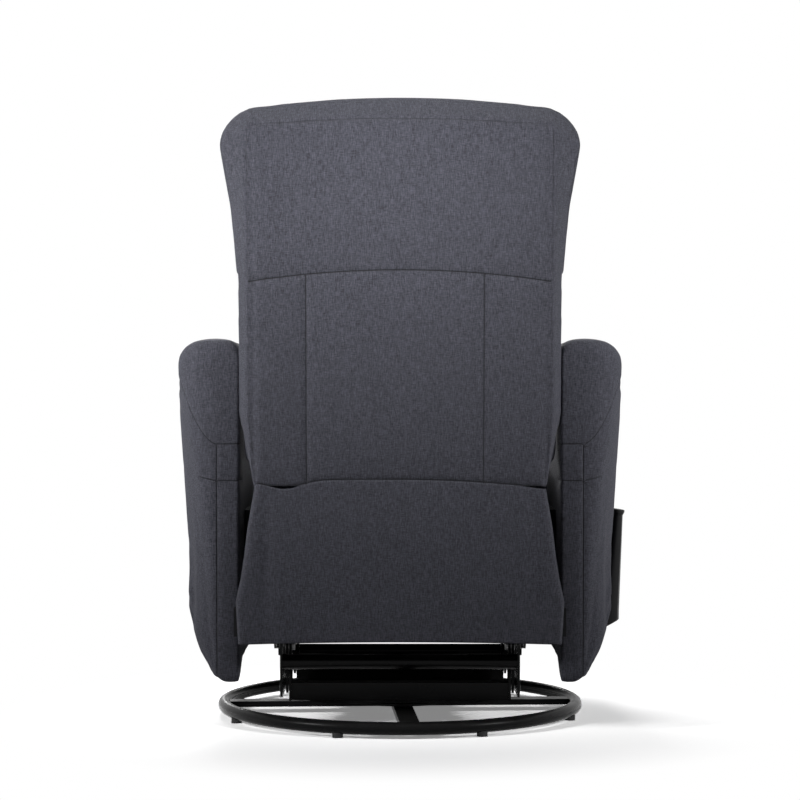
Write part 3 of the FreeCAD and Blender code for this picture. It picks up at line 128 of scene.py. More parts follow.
world = bpy.data.worlds.new("white_room")
world.use_nodes = True
scene.world = world
sky = world.node_tree
back = sky.nodes["Background"]
back.inputs["Color"].default_value = white
strength = node_of(sky, "ShaderNodeMapRange", To_Min=room_light, To_Max=1.0)
sky.links.new(background_rays(sky), strength.inputs["Value"])
sky.links.new(strength.outputs["Result"], back.inputs["Strength"])

bpy.ops.object.select_all(action="DESELECT")
bpy.ops.mesh.primitive_plane_add(size=floor_size, location=(0, 0, 0))
floor = bpy.context.object
floor.name = "floor"
bpy.ops.object.transform_apply(location=True, rotation=True, scale=True)

# The camera and mirrors see a bright floor, and the chair gets little light back from it.
paint = bpy.data.materials.new("studio_floor")
paint.use_nodes = True
tree = paint.node_tree
tree.nodes.clear()
seen_paint = node_of(tree, "ShaderNodeBsdfDiffuse", Color=floor_seen)
glow = node_of(tree, "ShaderNodeEmission", Color=white, Strength=floor_lift)
seen_floor = tree.nodes.new("ShaderNodeAddShader")
tree.links.new(seen_paint.outputs[0], seen_floor.inputs[0])
tree.links.new(glow.outputs[0], seen_floor.inputs[1])
dull_floor = node_of(tree, "ShaderNodeBsdfDiffuse", Color=floor_bounce)
either = tree.nodes.new("ShaderNodeMixShader")
tree.links.new(background_rays(tree), either.inputs["Fac"])
tree.links.new(dull_floor.outputs[0], either.inputs[1])
tree.links.new(seen_floor.outputs[0], either.inputs[2])
spot = tree.nodes.new("ShaderNodeTexCoord")
from_chair = tree.nodes.new("ShaderNodeVectorMath")
from_chair.operation = "LENGTH"
tree.links.new(spot.outputs["Object"], from_chair.inputs[0])
fade = node_of(tree, "ShaderNodeMapRange", From_Min=fade_near, From_Max=fade_far)
fade.interpolation_type = "SMOOTHSTEP"
tree.links.new(from_chair.outputs["Value"], fade.inputs["Value"])
backdrop = node_of(tree, "ShaderNodeEmission", Color=white, Strength=1.0)
sweep = tree.nodes.new("ShaderNodeMixShader")
tree.links.new(calc(tree, "MULTIPLY", fade.outputs["Result"], background_rays(tree)),
               sweep.inputs["Fac"])
tree.links.new(either.outputs[0], sweep.inputs[1])
tree.links.new(backdrop.outputs[0], sweep.inputs[2])
out = tree.nodes.new("ShaderNodeOutputMaterial")
tree.links.new(sweep.outputs[0], out.inputs["Surface"])
floor.data.materials.append(paint)


# Black powder coat
# Ring, plates, links, tubes and rails are pressed or rolled steel with a half-gloss black
# powder coat: a faint orange-peel skin and a little pale dust where it faces up.
coated_nodes = [
    "base_ring", "base_spokes", "lower_race", "upper_race", "swivel_plate", "front_channel",
    "rear_channel", "hanger_front_left", "hanger_front_right", "hanger_rear_left",
    "hanger_rear_right", "glide_link_front_left", "glide_link_front_right",
    "glide_link_rear_left", "glide_link_rear_right", "side_plate_left", "side_plate_right",
    "front_cross_tube", "rear_cross_tube", "seat_links_front", "seat_links_rear",
    "seat_rail_left", "seat_rail_right", "drive_tube", "drive_rods", "rear_links",
    "front_links", "outer_links", "inner_links", "ottoman_brackets", "back_brackets",
]
powder_black = (0.0055, 0.0055, 0.0062, 1.0)
dust_grey = (0.030, 0.0295, 0.029, 1.0)
dust_patches = 34.0
dust_dulls = 0.18
gloss_change = 0.06


def new_group(label, inputs, outputs):
    """A shader node group with named number inputs and named number outputs."""
    group = bpy.data.node_groups.new(label, "ShaderNodeTree")
    for name, value in inputs:
        socket = group.interface.new_socket(name, in_out="INPUT", socket_type="NodeSocketFloat")
        socket.default_value = value
    for name in outputs:
        group.interface.new_socket(name, in_out="OUTPUT", socket_type="NodeSocketFloat")
    return group, group.nodes.new("NodeGroupInput"), group.nodes.new("NodeGroupOutput")


def place_group(tree, group, **inputs):
    """Places a node group in a material with its own values."""
    made = tree.nodes.new("ShaderNodeGroup")
    made.node_tree = group
    for label, value in inputs.items():
        made.inputs[label.replace("_", " ")].default_value = value
    return made


def mix_colours(tree, mask, first, second):
    """Mixes two colours, each a socket or four numbers, by a mask."""
    made = tree.nodes.new("ShaderNodeMix")
    made.data_type = "RGBA"
    tree.links.new(mask, made.inputs["Factor"])
    for label, value in (("A", first), ("B", second)):
        socket = [s for s in made.inputs if s.name == label and s.type == "RGBA"][0]
        if isinstance(value, bpy.types.NodeSocket):
            tree.links.new(value, socket)
        else:
            socket.default_value = value
    return [s for s in made.outputs if s.type == "RGBA"][0]


def bumped(tree, shader, height, distance, strength=1.0):
    """Feeds a height, in the metres of distance, into a shader's normal."""
    bump = node_of(tree, "ShaderNodeBump", Strength=strength, Distance=distance)
    tree.links.new(height, bump.inputs["Height"])
    tree.links.new(bump.outputs["Normal"], shader.inputs["Normal"])


# Dust lies on what faces up and gathers in soft patches.
dust_group, into, outof = new_group("settled_dust", [("Patch Scale", dust_patches)], ["Dust"])
where = dust_group.nodes.new("ShaderNodeTexCoord")
facing = dust_group.nodes.new("ShaderNodeSeparateXYZ")
dust_group.links.new(where.outputs["Normal"], facing.inputs[0])
patches = node_of(dust_group, "ShaderNodeTexNoise", Detail=4.0, Roughness=0.6)
dust_group.links.new(where.outputs["Object"], patches.inputs["Vector"])
dust_group.links.new(into.outputs["Patch Scale"], patches.inputs["Scale"])
upward = calc(dust_group, "MAXIMUM", facing.outputs["Z"], 0.0)
settled = calc(dust_group, "MULTIPLY", upward, patches.outputs["Fac"])
dust_group.links.new(settled, outof.inputs["Dust"])

# A sprayed or moulded skin has a fine, even ripple.
skin_group, into, outof = new_group("fine_skin", [("Grain Scale", 900.0)], ["Height", "Tone"])
where = skin_group.nodes.new("ShaderNodeTexCoord")
grain = node_of(skin_group, "ShaderNodeTexNoise", Detail=2.0, Roughness=0.5)
skin_group.links.new(where.outputs["Object"], grain.inputs["Vector"])
skin_group.links.new(into.outputs["Grain Scale"], grain.inputs["Scale"])
skin_group.links.new(grain.outputs["Fac"], outof.inputs["Height"])
clouds = node_of(skin_group, "ShaderNodeTexNoise", Scale=14.0, Detail=3.0, Roughness=0.55)
skin_group.links.new(where.outputs["Object"], clouds.inputs["Vector"])
skin_group.links.new(clouds.outputs["Fac"], outof.inputs["Tone"])


def skinned_material(label, colour, dusty_colour, roughness, grain_scale, depth, **shader):
    """A hard surface with a fine skin, cloudy gloss and settled dust."""
    made = bpy.data.materials.new(label)
    made.use_nodes = True
    tree = made.node_tree
    surface = tree.nodes["Principled BSDF"]
    for name, value in shader.items():
        surface.inputs[name.replace("_", " ")].default_value = value
    skin = place_group(tree, skin_group, Grain_Scale=grain_scale)
    dust = place_group(tree, dust_group, Patch_Scale=dust_patches)
    tint = mix_colours(tree, dust.outputs["Dust"], colour, dusty_colour)
    tree.links.new(tint, surface.inputs["Base Color"])
    gloss = node_of(tree, "ShaderNodeMapRange", From_Min=0.3, From_Max=0.7,
                    To_Min=roughness - gloss_change, To_Max=roughness + gloss_change)
    tree.links.new(skin.outputs["Tone"], gloss.inputs["Value"])
    rough = calc(tree, "ADD", gloss.outputs["Result"],
                 calc(tree, "MULTIPLY", dust.outputs["Dust"], dust_dulls))
    tree.links.new(rough, surface.inputs["Roughness"])
    bumped(tree, surface, skin.outputs["Height"], depth)
    return made


def dress(names, material):
    """Gives CAD pieces one material in place of what they came with."""
    for name in names:
        nodes[name].data.materials.clear()
        nodes[name].data.materials.append(material)


powder_coat = skinned_material("black_powder_coat", powder_black, dust_grey, roughness=0.24,
                               grain_scale=750.0, depth=0.00004, Specular_IOR_Level=0.08)
dress(coated_nodes, powder_coat)


# Rivets, bolts and pivot pins
# Dark zinc-plated steel pins with low heads, with a soft metal gloss and a very fine grain.
# The swivel pin holds the bearing, and the others join the links, plates and rails.
plated_nodes = ["swivel_pin", "hanger_bolts", "side_plate_pins", "seat_rail_pins"]
dark_zinc = (0.17, 0.17, 0.175, 1.0)
dull_zinc = (0.09, 0.09, 0.09, 1.0)
plated = skinned_material("dark_plated_steel", dark_zinc, dull_zinc, roughness=0.34,
                          grain_scale=1600.0, depth=0.00002, Metallic=1.0)
dress(plated_nodes, plated)


# Foot glides
# Matt black rubber pads under the ring. They keep it off the floor and pick up more dust
# than the steel does.
rubber_black = (0.016, 0.016, 0.017, 1.0)
dusty_rubber = (0.06, 0.058, 0.055, 1.0)
rubber = skinned_material("foot_rubber", rubber_black, dusty_rubber, roughness=0.72,
                          grain_scale=520.0, depth=0.00009)
dress(["foot_glides"], rubber)


# Slip ring of the swivel
# Natural nylon, slightly yellow. It lies between the two races, and only its edge can be
# seen.
nylon_cream = (0.62, 0.60, 0.53, 1.0)
dusty_nylon = (0.40, 0.38, 0.33, 1.0)
nylon = skinned_material("natural_nylon", nylon_cream, dusty_nylon, roughness=0.42,
                         grain_scale=300.0, depth=0.00003, Subsurface_Weight=0.15,
                         Subsurface_Scale=0.004)
dress(["slip_ring"], nylon)


# Pull lever
# Black moulded plastic with a fine spark-eroded grain, pushed onto the end of the drive
# tube outside the right arm.
plastic_black = (0.007, 0.007, 0.008, 1.0)
dusty_plastic = (0.022, 0.022, 0.022, 1.0)
lever_plastic = skinned_material("black_moulded_plastic", plastic_black, dusty_plastic,
                                 roughness=0.42, grain_scale=1500.0, depth=0.00005,
                                 Specular_IOR_Level=0.16)
dress(["lever_handle"], lever_plastic)


# Wooden back frame
# Two posts and two rails of raw pine inside the back: long grain lines that run with each
# piece, broader rings, and paler wood between them.
post_nodes = ["back_post_left", "back_post_right"]
rail_nodes = ["back_top_rail", "back_lower_rail"]
pale_wood = (0.56, 0.39, 0.22, 1.0)
dark_wood = (0.36, 0.21, 0.10, 1.0)
across_grain = 14.0
wood_contrast = 2.6


def wood_material(label, stretch):
    """Raw wood whose grain runs along the axis with the small stretch."""
    made = bpy.data.materials.new(label)
    made.use_nodes = True
    tree = made.node_tree
    surface = tree.nodes["Principled BSDF"]
    where = tree.nodes.new("ShaderNodeTexCoord")
    run = node_of(tree, "ShaderNodeMapping", Scale=stretch)
    tree.links.new(where.outputs["Object"], run.inputs["Vector"])
    rings = node_of(tree, "ShaderNodeTexNoise", Scale=9.0, Detail=6.0, Roughness=0.65,
                    Distortion=0.6)
    tree.links.new(run.outputs["Vector"], rings.inputs["Vector"])
    fibres = node_of(tree, "ShaderNodeTexNoise", Scale=90.0, Detail=3.0, Roughness=0.7)
    tree.links.new(run.outputs["Vector"], fibres.inputs["Vector"])
    both = calc(tree, "MULTIPLY", rings.outputs["Fac"], fibres.outputs["Fac"])
    mask = calc(tree, "MULTIPLY", both, wood_contrast)
    tint = mix_colours(tree, mask, dark_wood, pale_wood)
    tree.links.new(tint, surface.inputs["Base Color"])
    surface.inputs["Roughness"].default_value = 0.72
    bumped(tree, surface, fibres.outputs["Fac"], 0.0003)
    return made


wood_along_x = wood_material("pine_along_x", (1.0, across_grain, across_grain))
wood_along_z = wood_material("pine_along_z", (across_grain, across_grain, 1.0))
dress(rail_nodes, wood_along_x)
dress(post_nodes, wood_along_z)


# Lined seat box
# The boards of the seat box and the footrest and the stretcher are covered with stapled
# black spunbond, a thin felt of pressed fibres with a fine embossed dot.
lined_nodes = ["seat_board_left", "seat_board_right", "seat_board_front", "seat_board_rear",
               "rear_stretcher", "ottoman_board"]
lining_black = (0.006, 0.006, 0.007, 1.0)
lining_fibre = (0.020, 0.020, 0.022, 1.0)
embossed_depth = 0.0004


def lining_material():
    """Black spunbond lining."""
    made = bpy.data.materials.new("black_spunbond")
    made.use_nodes = True
    tree = made.node_tree
    surface = tree.nodes["Principled BSDF"]
    where = tree.nodes.new("ShaderNodeTexCoord")
    fibres = node_of(tree, "ShaderNodeTexNoise", Scale=420.0, Detail=5.0, Roughness=0.7)
    tree.links.new(where.outputs["Object"], fibres.inputs["Vector"])
    dots = node_of(tree, "ShaderNodeTexVoronoi", Scale=520.0, Randomness=0.15)
    tree.links.new(where.outputs["Object"], dots.inputs["Vector"])
    tint = mix_colours(tree, fibres.outputs["Fac"], lining_black, lining_fibre)
    tree.links.new(tint, surface.inputs["Base Color"])
    surface.inputs["Roughness"].default_value = 0.9
    surface.inputs["Specular IOR Level"].default_value = 0.2
    bumped(tree, surface, dots.outputs["Distance"], embossed_depth)
    return made


dress(lined_nodes, lining_material())


# Woven linen-look cloth
# Charcoal polyester in a plain weave. Each thread has its own tone that changes along it,
# so the cloth shows fine upright and level streaks, as in the photograph.
thread_pitch = 0.00095
streak_run = 0.12
thread_share = 0.35
thread_depth = 0.16
seam_half_width = 0.0015
seam_shade_depth = 0.0016
cloth_dark = (0.024, 0.0243, 0.031, 1.0)
cloth_mid = (0.060, 0.0605, 0.077, 1.0)
cloth_light = (0.108, 0.1085, 0.134, 1.0)
cloth_sheen = (0.82, 0.84, 0.95, 1.0)
# Painted shade: the near black that the seam valleys are coloured with.
seam_painted_shade = (0.012, 0.012, 0.014, 1.0)

weave_group, into, outof = new_group("plain_weave", [("Pitch", thread_pitch)],
                                     ["Height", "Tone"])
tree = weave_group
where = tree.nodes.new("ShaderNodeTexCoord")
place = tree.nodes.new("ShaderNodeSeparateXYZ")
tree.links.new(where.outputs["Object"], place.inputs[0])
normal = tree.nodes.new("ShaderNodeSeparateXYZ")
tree.links.new(where.outputs["Normal"], normal.inputs[0])
side_x = calc(tree, "ABSOLUTE", normal.outputs["X"])
side_y = calc(tree, "ABSOLUTE", normal.outputs["Y"])
side_z = calc(tree, "ABSOLUTE", normal.outputs["Z"])
faces_x = calc(tree, "GREATER_THAN", side_x, calc(tree, "MAXIMUM", side_y, side_z))
faces_z = calc(tree, "GREATER_THAN", side_z, calc(tree, "MAXIMUM", side_x, side_y))


def either_value(tree, mask, first, second):
    """The first value where the mask is nought, the second where it is one."""
    made = tree.nodes.new("ShaderNodeMix")
    tree.links.new(mask, made.inputs["Factor"])
    tree.links.new(first, made.inputs["A"])
    tree.links.new(second, made.inputs["B"])
    return made.outputs["Result"]


across = either_value(tree, faces_x, place.outputs["X"], place.outputs["Y"])
along = either_value(tree, faces_z, place.outputs["Z"], place.outputs["Y"])
warp = calc(tree, "DIVIDE", across, into.outputs["Pitch"])
weft = calc(tree, "DIVIDE", along, into.outputs["Pitch"])


def thread_streaks(tree, number, run, seed):
    """A tone for each thread that changes slowly as the thread runs on."""
    spot = tree.nodes.new("ShaderNodeCombineXYZ")
    tree.links.new(number, spot.inputs["X"])
    tree.links.new(calc(tree, "MULTIPLY", run, streak_run), spot.inputs["Y"])
    spot.inputs["Z"].default_value = seed
    streaks = node_of(tree, "ShaderNodeTexNoise", Scale=0.9, Detail=2.0, Roughness=0.6)
    tree.links.new(spot.outputs[0], streaks.inputs["Vector"])
    return streaks.outputs["Fac"]


warp_tone = thread_streaks(tree, warp, weft, 3.7)
weft_tone = thread_streaks(tree, weft, warp, 11.3)
warp_wave = calc(tree, "SINE", calc(tree, "MULTIPLY", warp, math.pi))
weft_wave = calc(tree, "SINE", calc(tree, "MULTIPLY", weft, math.pi))
warp_over = calc(tree, "GREATER_THAN", calc(tree, "MULTIPLY", warp_wave, weft_wave), 0.0)
thread_top = either_value(tree, warp_over, calc(tree, "ABSOLUTE", weft_wave),
                          calc(tree, "ABSOLUTE", warp_wave))
thread_tone = either_value(tree, warp_over, weft_tone, warp_tone)
both_tones = calc(tree, "ADD", calc(tree, "MULTIPLY", warp_tone, 0.6),
                  calc(tree, "MULTIPLY", weft_tone, 0.4))
tone = calc(tree, "ADD", calc(tree, "MULTIPLY", thread_tone, thread_share),
            calc(tree, "MULTIPLY", both_tones, 1 - thread_share))
tree.links.new(tone, outof.inputs["Tone"])
tree.links.new(calc(tree, "MULTIPLY", thread_top, calc(tree, "ADD", thread_tone, 0.4)),
               outof.inputs["Height"])

# A seam is a narrow valley, with shade painted near black into the cloth's colour along it. The
# seam attribute of a cover holds the distance to its nearest seam in metres.
seam_group, into, outof = new_group("sewn_seam", [("Half Width", seam_half_width)],
                                    ["Valley", "Painted Shade"])
tree = seam_group
gap = tree.nodes.new("ShaderNodeAttribute")
gap.attribute_name = "seam"
span = calc(tree, "ABSOLUTE", gap.outputs["Fac"])
near = calc(tree, "DIVIDE", span, into.outputs["Half Width"])
valley = calc(tree, "SUBTRACT", 1.0, calc(tree, "MINIMUM", near, 1.0))
# Painted shade mask, strongest on the seam line.
painted_seam_shade = calc(tree, "POWER", valley, 0.8)
tree.links.new(valley, outof.inputs["Valley"])
tree.links.new(painted_seam_shade, outof.inputs["Painted Shade"])


def cloth_material(label, dark, mid, light):
    """Woven cloth with its seams, and painted shade in the seam valleys."""
    made = bpy.data.materials.new(label)
    made.use_nodes = True
    tree = made.node_tree
    surface = tree.nodes["Principled BSDF"]
    weave = place_group(tree, weave_group, Pitch=thread_pitch)
    seam = place_group(tree, seam_group, Half_Width=seam_half_width)
    ramp = tree.nodes.new("ShaderNodeValToRGB")
    ramp.color_ramp.elements[0].position = 0.35
    ramp.color_ramp.elements[0].color = dark
    ramp.color_ramp.elements[1].position = 0.65
    ramp.color_ramp.elements[1].color = light
    middle = ramp.color_ramp.elements.new(0.5)
    middle.color = mid
    tree.links.new(weave.outputs["Tone"], ramp.inputs["Fac"])
    # Painted shade: the colour goes towards near black in each seam's valley.
    tint = mix_colours(tree, seam.outputs["Painted Shade"], ramp.outputs["Color"], seam_painted_shade)
    tree.links.new(tint, surface.inputs["Base Color"])
    surface.inputs["Roughness"].default_value = 0.88
    surface.inputs["Specular IOR Level"].default_value = 0.25
    surface.inputs["Sheen Weight"].default_value = 0.12
    surface.inputs["Sheen Roughness"].default_value = 0.45
    surface.inputs["Sheen Tint"].default_value = cloth_sheen
    threads = calc(tree, "MULTIPLY", weave.outputs["Height"], thread_depth)
    raised = calc(tree, "SUBTRACT", threads, seam.outputs["Valley"])
    bumped(tree, surface, raised, seam_shade_depth)
    return made


linen = cloth_material("charcoal_linen", cloth_dark, cloth_mid, cloth_light)


# Seat cushion
# A crowned foam cushion between the arms. Its top panel is joined to the boxing all round,
# and a cross seam ties it down before it rolls over the front board.
seat_low, seat_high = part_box("seat_cushion")
seat_border_z = seat_high.z - 0.030
seat_roll_y = seat_low.y + 0.105
cushion_seam_depth = 0.003
merge_gap = 0.00005
filling_frames = 20
held_near_seam = 0.006
valley_width = 0.0045


def cut_cover(name, node, cell):
    """A closed cover in even cells, cut to the form of one padded piece."""
    cover = bpy.data.objects.new(name, nodes[node].data.copy())
    scene.collection.objects.link(cover)
    bpy.ops.object.select_all(action="DESELECT")
    cover.select_set(True)
    bpy.context.view_layer.objects.active = cover
    bpy.ops.object.mode_set(mode="EDIT")
    bpy.ops.mesh.select_all(action="SELECT")
    bpy.ops.mesh.remove_doubles(threshold=merge_gap)
    bpy.ops.mesh.normals_make_consistent(inside=False)
    bpy.ops.object.mode_set(mode="OBJECT")
    cells = cover.modifiers.new("cells", "REMESH")
    cells.mode = "VOXEL"
    cells.voxel_size = cell
    bpy.ops.object.modifier_apply(modifier=cells.name)
    even = cover.modifiers.new("even", "SMOOTH")
    even.factor = 0.5
    even.iterations = 4
    bpy.ops.object.modifier_apply(modifier=even.name)
    cover.data.materials.clear()
    cover.data.materials.append(linen)
    return cover


def points_of(cover, what="co"):
    """The places of the cover's points, or their normals, as rows of x, y, z."""
    row = np.empty(len(cover.data.vertices) * 3)
    cover.data.vertices.foreach_get(what, row)
    return row.reshape(-1, 3)


def set_points(cover, points):
    """Moves the cover's points."""
    cover.data.vertices.foreach_set("co", np.ascontiguousarray(points, dtype=float).ravel())
    cover.data.update()


def nearest_seam(points, seams):
    """The signed distance of each point to the nearest of the seams."""
    gaps = np.stack([seam(points) for seam in seams])
    first = np.abs(gaps).argmin(axis=0)
    return gaps[first, np.arange(len(points))]


def fill_cover(cover, seams, held, pull, pressure, swell):
    """Fills the cover by cloth simulation. It is drawn in by pull before it swells, it
    stays put at its seams and where held says, and no point moves past swell."""
    start = points_of(cover)
    gap = np.abs(nearest_seam(start, seams))
    stays = np.clip(1.6 - gap / held_near_seam, 0, 1)
    stays = np.maximum(stays, held(start))
    shape = start - points_of(cover, "normal") * (pull * (1 - stays))[:, None]
    set_points(cover, shape)
    group = cover.vertex_groups.new(name="held")
    for index, weight in enumerate(stays):
        if weight > 0.01:
            group.add([index], float(weight), "REPLACE")
    cloth = cover.modifiers.new("filling", "CLOTH")
    settings = cloth.settings
    settings.quality = 3
    settings.mass = 0.25
    settings.tension_stiffness = 18
    settings.compression_stiffness = 18
    settings.shear_stiffness = 8
    settings.bending_stiffness = 0.8
    settings.use_pressure = True
    settings.uniform_pressure_force = pressure
    settings.effector_weights.gravity = 0
    settings.vertex_group_mass = group.name
    cloth.point_cache.frame_start = 1
    cloth.point_cache.frame_end = filling_frames
    for step in range(1, filling_frames + 1):
        scene.frame_set(step)
    bpy.context.view_layer.objects.active = cover
    bpy.ops.object.modifier_apply(modifier=cloth.name)
    scene.frame_set(1)
    moved = points_of(cover) - shape
    length = np.linalg.norm(moved, axis=1)
    share = np.minimum(1.0, swell / np.maximum(length, 1e-9))
    set_points(cover, shape + moved * share[:, None])
    cover.vertex_groups.clear()


def finish_cover(cover, seams, depth, body, *replaced):
    """One subdivision, then the seams draw the cover in and mark it, and it is fixed to
    its body in place of the plain forms."""
    bpy.ops.object.select_all(action="DESELECT")
    cover.select_set(True)
    bpy.context.view_layer.objects.active = cover
    rounder = cover.modifiers.new("rounder", "SUBSURF")
    rounder.levels = 1
    rounder.render_levels = 1
    bpy.ops.object.modifier_apply(modifier=rounder.name)
    points = points_of(cover)
    gap = nearest_seam(points, seams)
    valley = np.exp(-(gap / valley_width) ** 2)
    set_points(cover, points - points_of(cover, "normal") * (depth * valley)[:, None])
    mark = cover.data.attributes.new("seam", "FLOAT", "POINT")
    mark.data.foreach_set("value", gap.astype(np.float32))
    bpy.ops.object.shade_smooth()
    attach(cover, body)
    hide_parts(*replaced)


def seat_border(points):
    """The seam between the top panel and the boxing."""
    return points[:, 2] - seat_border_z


def seat_cross(points):
    """The seam across the top, behind the front roll."""
    gap = points[:, 1] - seat_roll_y
    return np.where(points[:, 2] > seat_border_z, gap, 1.0)


def seat_rests(points):
    """The underside lies flat on the straps and the boards."""
    return np.clip((seat_low.z + 0.012 - points[:, 2]) / 0.004, 0, 1)


seat_seams = [seat_border, seat_cross]
seat_cover = cut_cover("seat_cushion_cover", "seat_cushion", 0.007)
fill_cover(seat_cover, seat_seams, seat_rests, pull=0.007, pressure=4.0, swell=0.024)
finish_cover(seat_cover, seat_seams, cushion_seam_depth, "seat", "seat_cushion")


# Arms
# Foam over a wooden box. A soft pillow wraps the top and hangs down the back end, where it
# is sewn to the side panel on a curve, and the narrow end panel runs down to the point.
arm_left_low, arm_left_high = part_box("arm_left")
arm_rear_y = arm_left_high.y
arm_front_y = arm_left_low.y
pillow_end_z = 0.478
pillow_side_z = 0.584
pillow_inner_z = 0.508
end_panel_x = 0.300
side_x_full = 0.366
end_cross_z = 0.418
end_cross_x = 0.331
arm_inner_x = 0.262
arm_seam_depth = 0.0014
hem_heights = [0.088, 0.104, 0.117, 0.135, 0.183, 0.262, 0.300]
hem_fullness = [1.0, 1.06, 1.12, 1.14, 1.07, 1.01, 1.0]


def pillow_seam(points):
    """The lower edge of the pillow, level on the sides and dropping at both ends."""
    outward = np.abs(points[:, 0])
    rise = np.clip((outward - end_panel_x) / (side_x_full - end_panel_x), 0, 1)
    at_end = pillow_end_z + (pillow_side_z - pillow_end_z) * rise ** 1.7
    from_end = np.minimum(arm_rear_y - points[:, 1], points[:, 1] - arm_front_y)
    along = np.clip((from_end - 0.02) / 0.09, 0, 1)
    inner = outward < end_panel_x
    level = np.where(inner, pillow_inner_z, pillow_side_z)
    return points[:, 2] - (at_end + (level - at_end) * along * along * (3 - 2 * along))


def end_panel_seam(points):
    """The upright seam between the end panel and the side panel."""
    from_end = np.minimum(arm_rear_y - points[:, 1], points[:, 1] - arm_front_y)
    gap = np.abs(points[:, 0]) - end_panel_x
    return np.where((points[:, 2] < pillow_end_z) & (from_end < 0.07), gap, 1.0)


def end_cross_seam(points):
    """The level seam across the end panel, which fades out on the side panel."""
    outward = np.abs(points[:, 0])
    level = end_cross_z + 0.35 * np.maximum(outward - end_panel_x, 0) ** 1.15
    from_end = arm_rear_y - points[:, 1]
    return np.where((from_end < 0.06) & (outward < end_cross_x), points[:, 2] - level, 1.0)


def arm_inner(points):
    """The inner wall is flat against the seat box."""
    return np.clip((0.268 - np.abs(points[:, 0])) / 0.003, 0, 1)


arm_seams = [pillow_seam, end_panel_seam, end_cross_seam]
for side in ("left", "right"):
    arm_cover = cut_cover("arm_cover_" + side, "arm_" + side, 0.008)
    points = points_of(arm_cover)
    outward = np.abs(points[:, 0])
    full = np.interp(points[:, 2], hem_heights, hem_fullness)
    wider = arm_inner_x + (outward - arm_inner_x) * full
    points[:, 0] = np.sign(points[:, 0]) * np.where(outward > arm_inner_x, wider, outward)
    set_points(arm_cover, points)
    fill_cover(arm_cover, arm_seams, arm_inner, pull=0.0008, pressure=3.5, swell=0.008)
    finish_cover(arm_cover, arm_seams, arm_seam_depth, "seat", "arm_" + side)


# Outside back
# A firm padded panel with curved joins: one across under the head and two upright below
# it, a border seam where the side bands and the top band begin, and a shallow cove beside
# each side band. It is shaped in code, without a simulation.
lean = math.radians(6)
hinge_y = 0.210
hinge_z = 0.365
cover_rear = 0.105
panel_high = 0.648
panel_arch = 0.010
panel_half = 0.246
panel_half_low = 0.2375
hip_height = 0.172
cover_low_edge = 0.052
corner_taper = 0.022
cover_plump = 0.005
plump_reach = 0.022
cove_depth = 0.005
cove_place = 0.009
cove_width = 0.006
rear_seam_depth = 0.0018
head_seam_z = 0.758
head_seam_arch = 0.019
upright_left_x = 0.151
upright_right_x = -0.135
upright_low_z = 0.412
lower_seam_z = 0.4215
dip_place = 0.787
dip_depth = 0.012
dip_width = 0.16
left_fall = 0.004
right_fall = 0.0145


def back_local(points):
    """Points in the back's own upright frame, measured from the recline pivot."""
    y = points[:, 1] - hinge_y
    z = points[:, 2] - hinge_z
    return (points[:, 0], y * math.cos(lean) - z * math.sin(lean),
            y * math.sin(lean) + z * math.cos(lean))


def inside_panel(points):
    """How far a point lies inside the rear panel's outline, seen from behind."""
    x, y, z = back_local(points)
    half = np.interp(z, [cover_low_edge, hip_height], [panel_half_low, panel_half])
    top = panel_high - panel_arch * (x / panel_half) ** 2
    return np.minimum(half - np.abs(x), top - z)


def border_seam(points):
    """The seam where the rear panel turns into the bands, past nought on the panel."""
    before = cover_rear - back_local(points)[1]
    inside = inside_panel(points)
    return np.where(before < inside, inside, -np.maximum(before, 0))


def on_panel(points):
    """True on the rear panel itself."""
    return border_seam(points) > 0


def head_seam(points):
    """The curved join under the head."""
    level = head_seam_z - head_seam_arch * (points[:, 0] / panel_half) ** 2
    return np.where(on_panel(points), points[:, 2] - level, 1.0)


def lower_edge(u):
    """The height of the lower seam, u from -1 to 1 across the back. It dips on the left
    and falls away evenly on the right."""
    left = left_fall * np.abs(u) ** 3 + dip_depth * np.exp(-((u - dip_place) / dip_width) ** 2)
    return lower_seam_z - np.where(u > 0, left, right_fall * u * u)


def lower_seam(points):
    """The seam where the skirt is sewn on."""
    level = lower_edge(points[:, 0] / panel_half_low)
    near = on_panel(points) & (points[:, 2] < 0.60)
    return np.where(near, points[:, 2] - level, 1.0)


def upright_seam(place, high):
    """The upright join at one place, up to where it meets the join under the head."""
    def gap_to(points):
        below = on_panel(points) & (points[:, 2] < high) & (points[:, 2] > upright_low_z)
        return np.where(below, points[:, 0] - place, 1.0)
    return gap_to


back_seams = [border_seam, head_seam, lower_seam,
              upright_seam(upright_left_x, 0.752), upright_seam(upright_right_x, 0.753)]
rear_cover = cut_cover("outside_back_cover", "back_cover", 0.005)
points = points_of(rear_cover)
x, y, z = back_local(points)
taper = np.clip((hip_height - z) / (hip_height - cover_low_edge), 0, 1)
points[:, 0] *= 1 - corner_taper * taper
plump = cover_plump * (1 - np.exp(-np.abs(nearest_seam(points, back_seams)) / plump_reach))
behind = np.clip((y - cover_rear + 0.006) / 0.003, 0, 1) * (lower_seam(points) > 0)
side_in = panel_half - np.abs(x)
cove = cove_depth * np.exp(-((side_in - cove_place) / cove_width) ** 2)
raised = (plump - cove) * behind
points += raised[:, None] * np.array([0, math.cos(lean), -math.sin(lean)])
set_points(rear_cover, points)
finish_cover(rear_cover, back_seams, rear_seam_depth, "back", "back_cover")


# Back cushion
# The boxed lumbar cushion, on the front of the wooden frame, with a border seam round its
# face and one cross channel.
lumbar_channel_z = 0.235
frame_face_y = 0.030


def leaning_border(heights, places):
    """The seam between a face and its boxing, which leans with the face."""
    def gap_to(points):
        y, z = back_local(points)[1:]
        return y - np.interp(z, heights, places)
    return gap_to


lumbar_border = leaning_border([0.112, 0.362], [-0.040, -0.022])


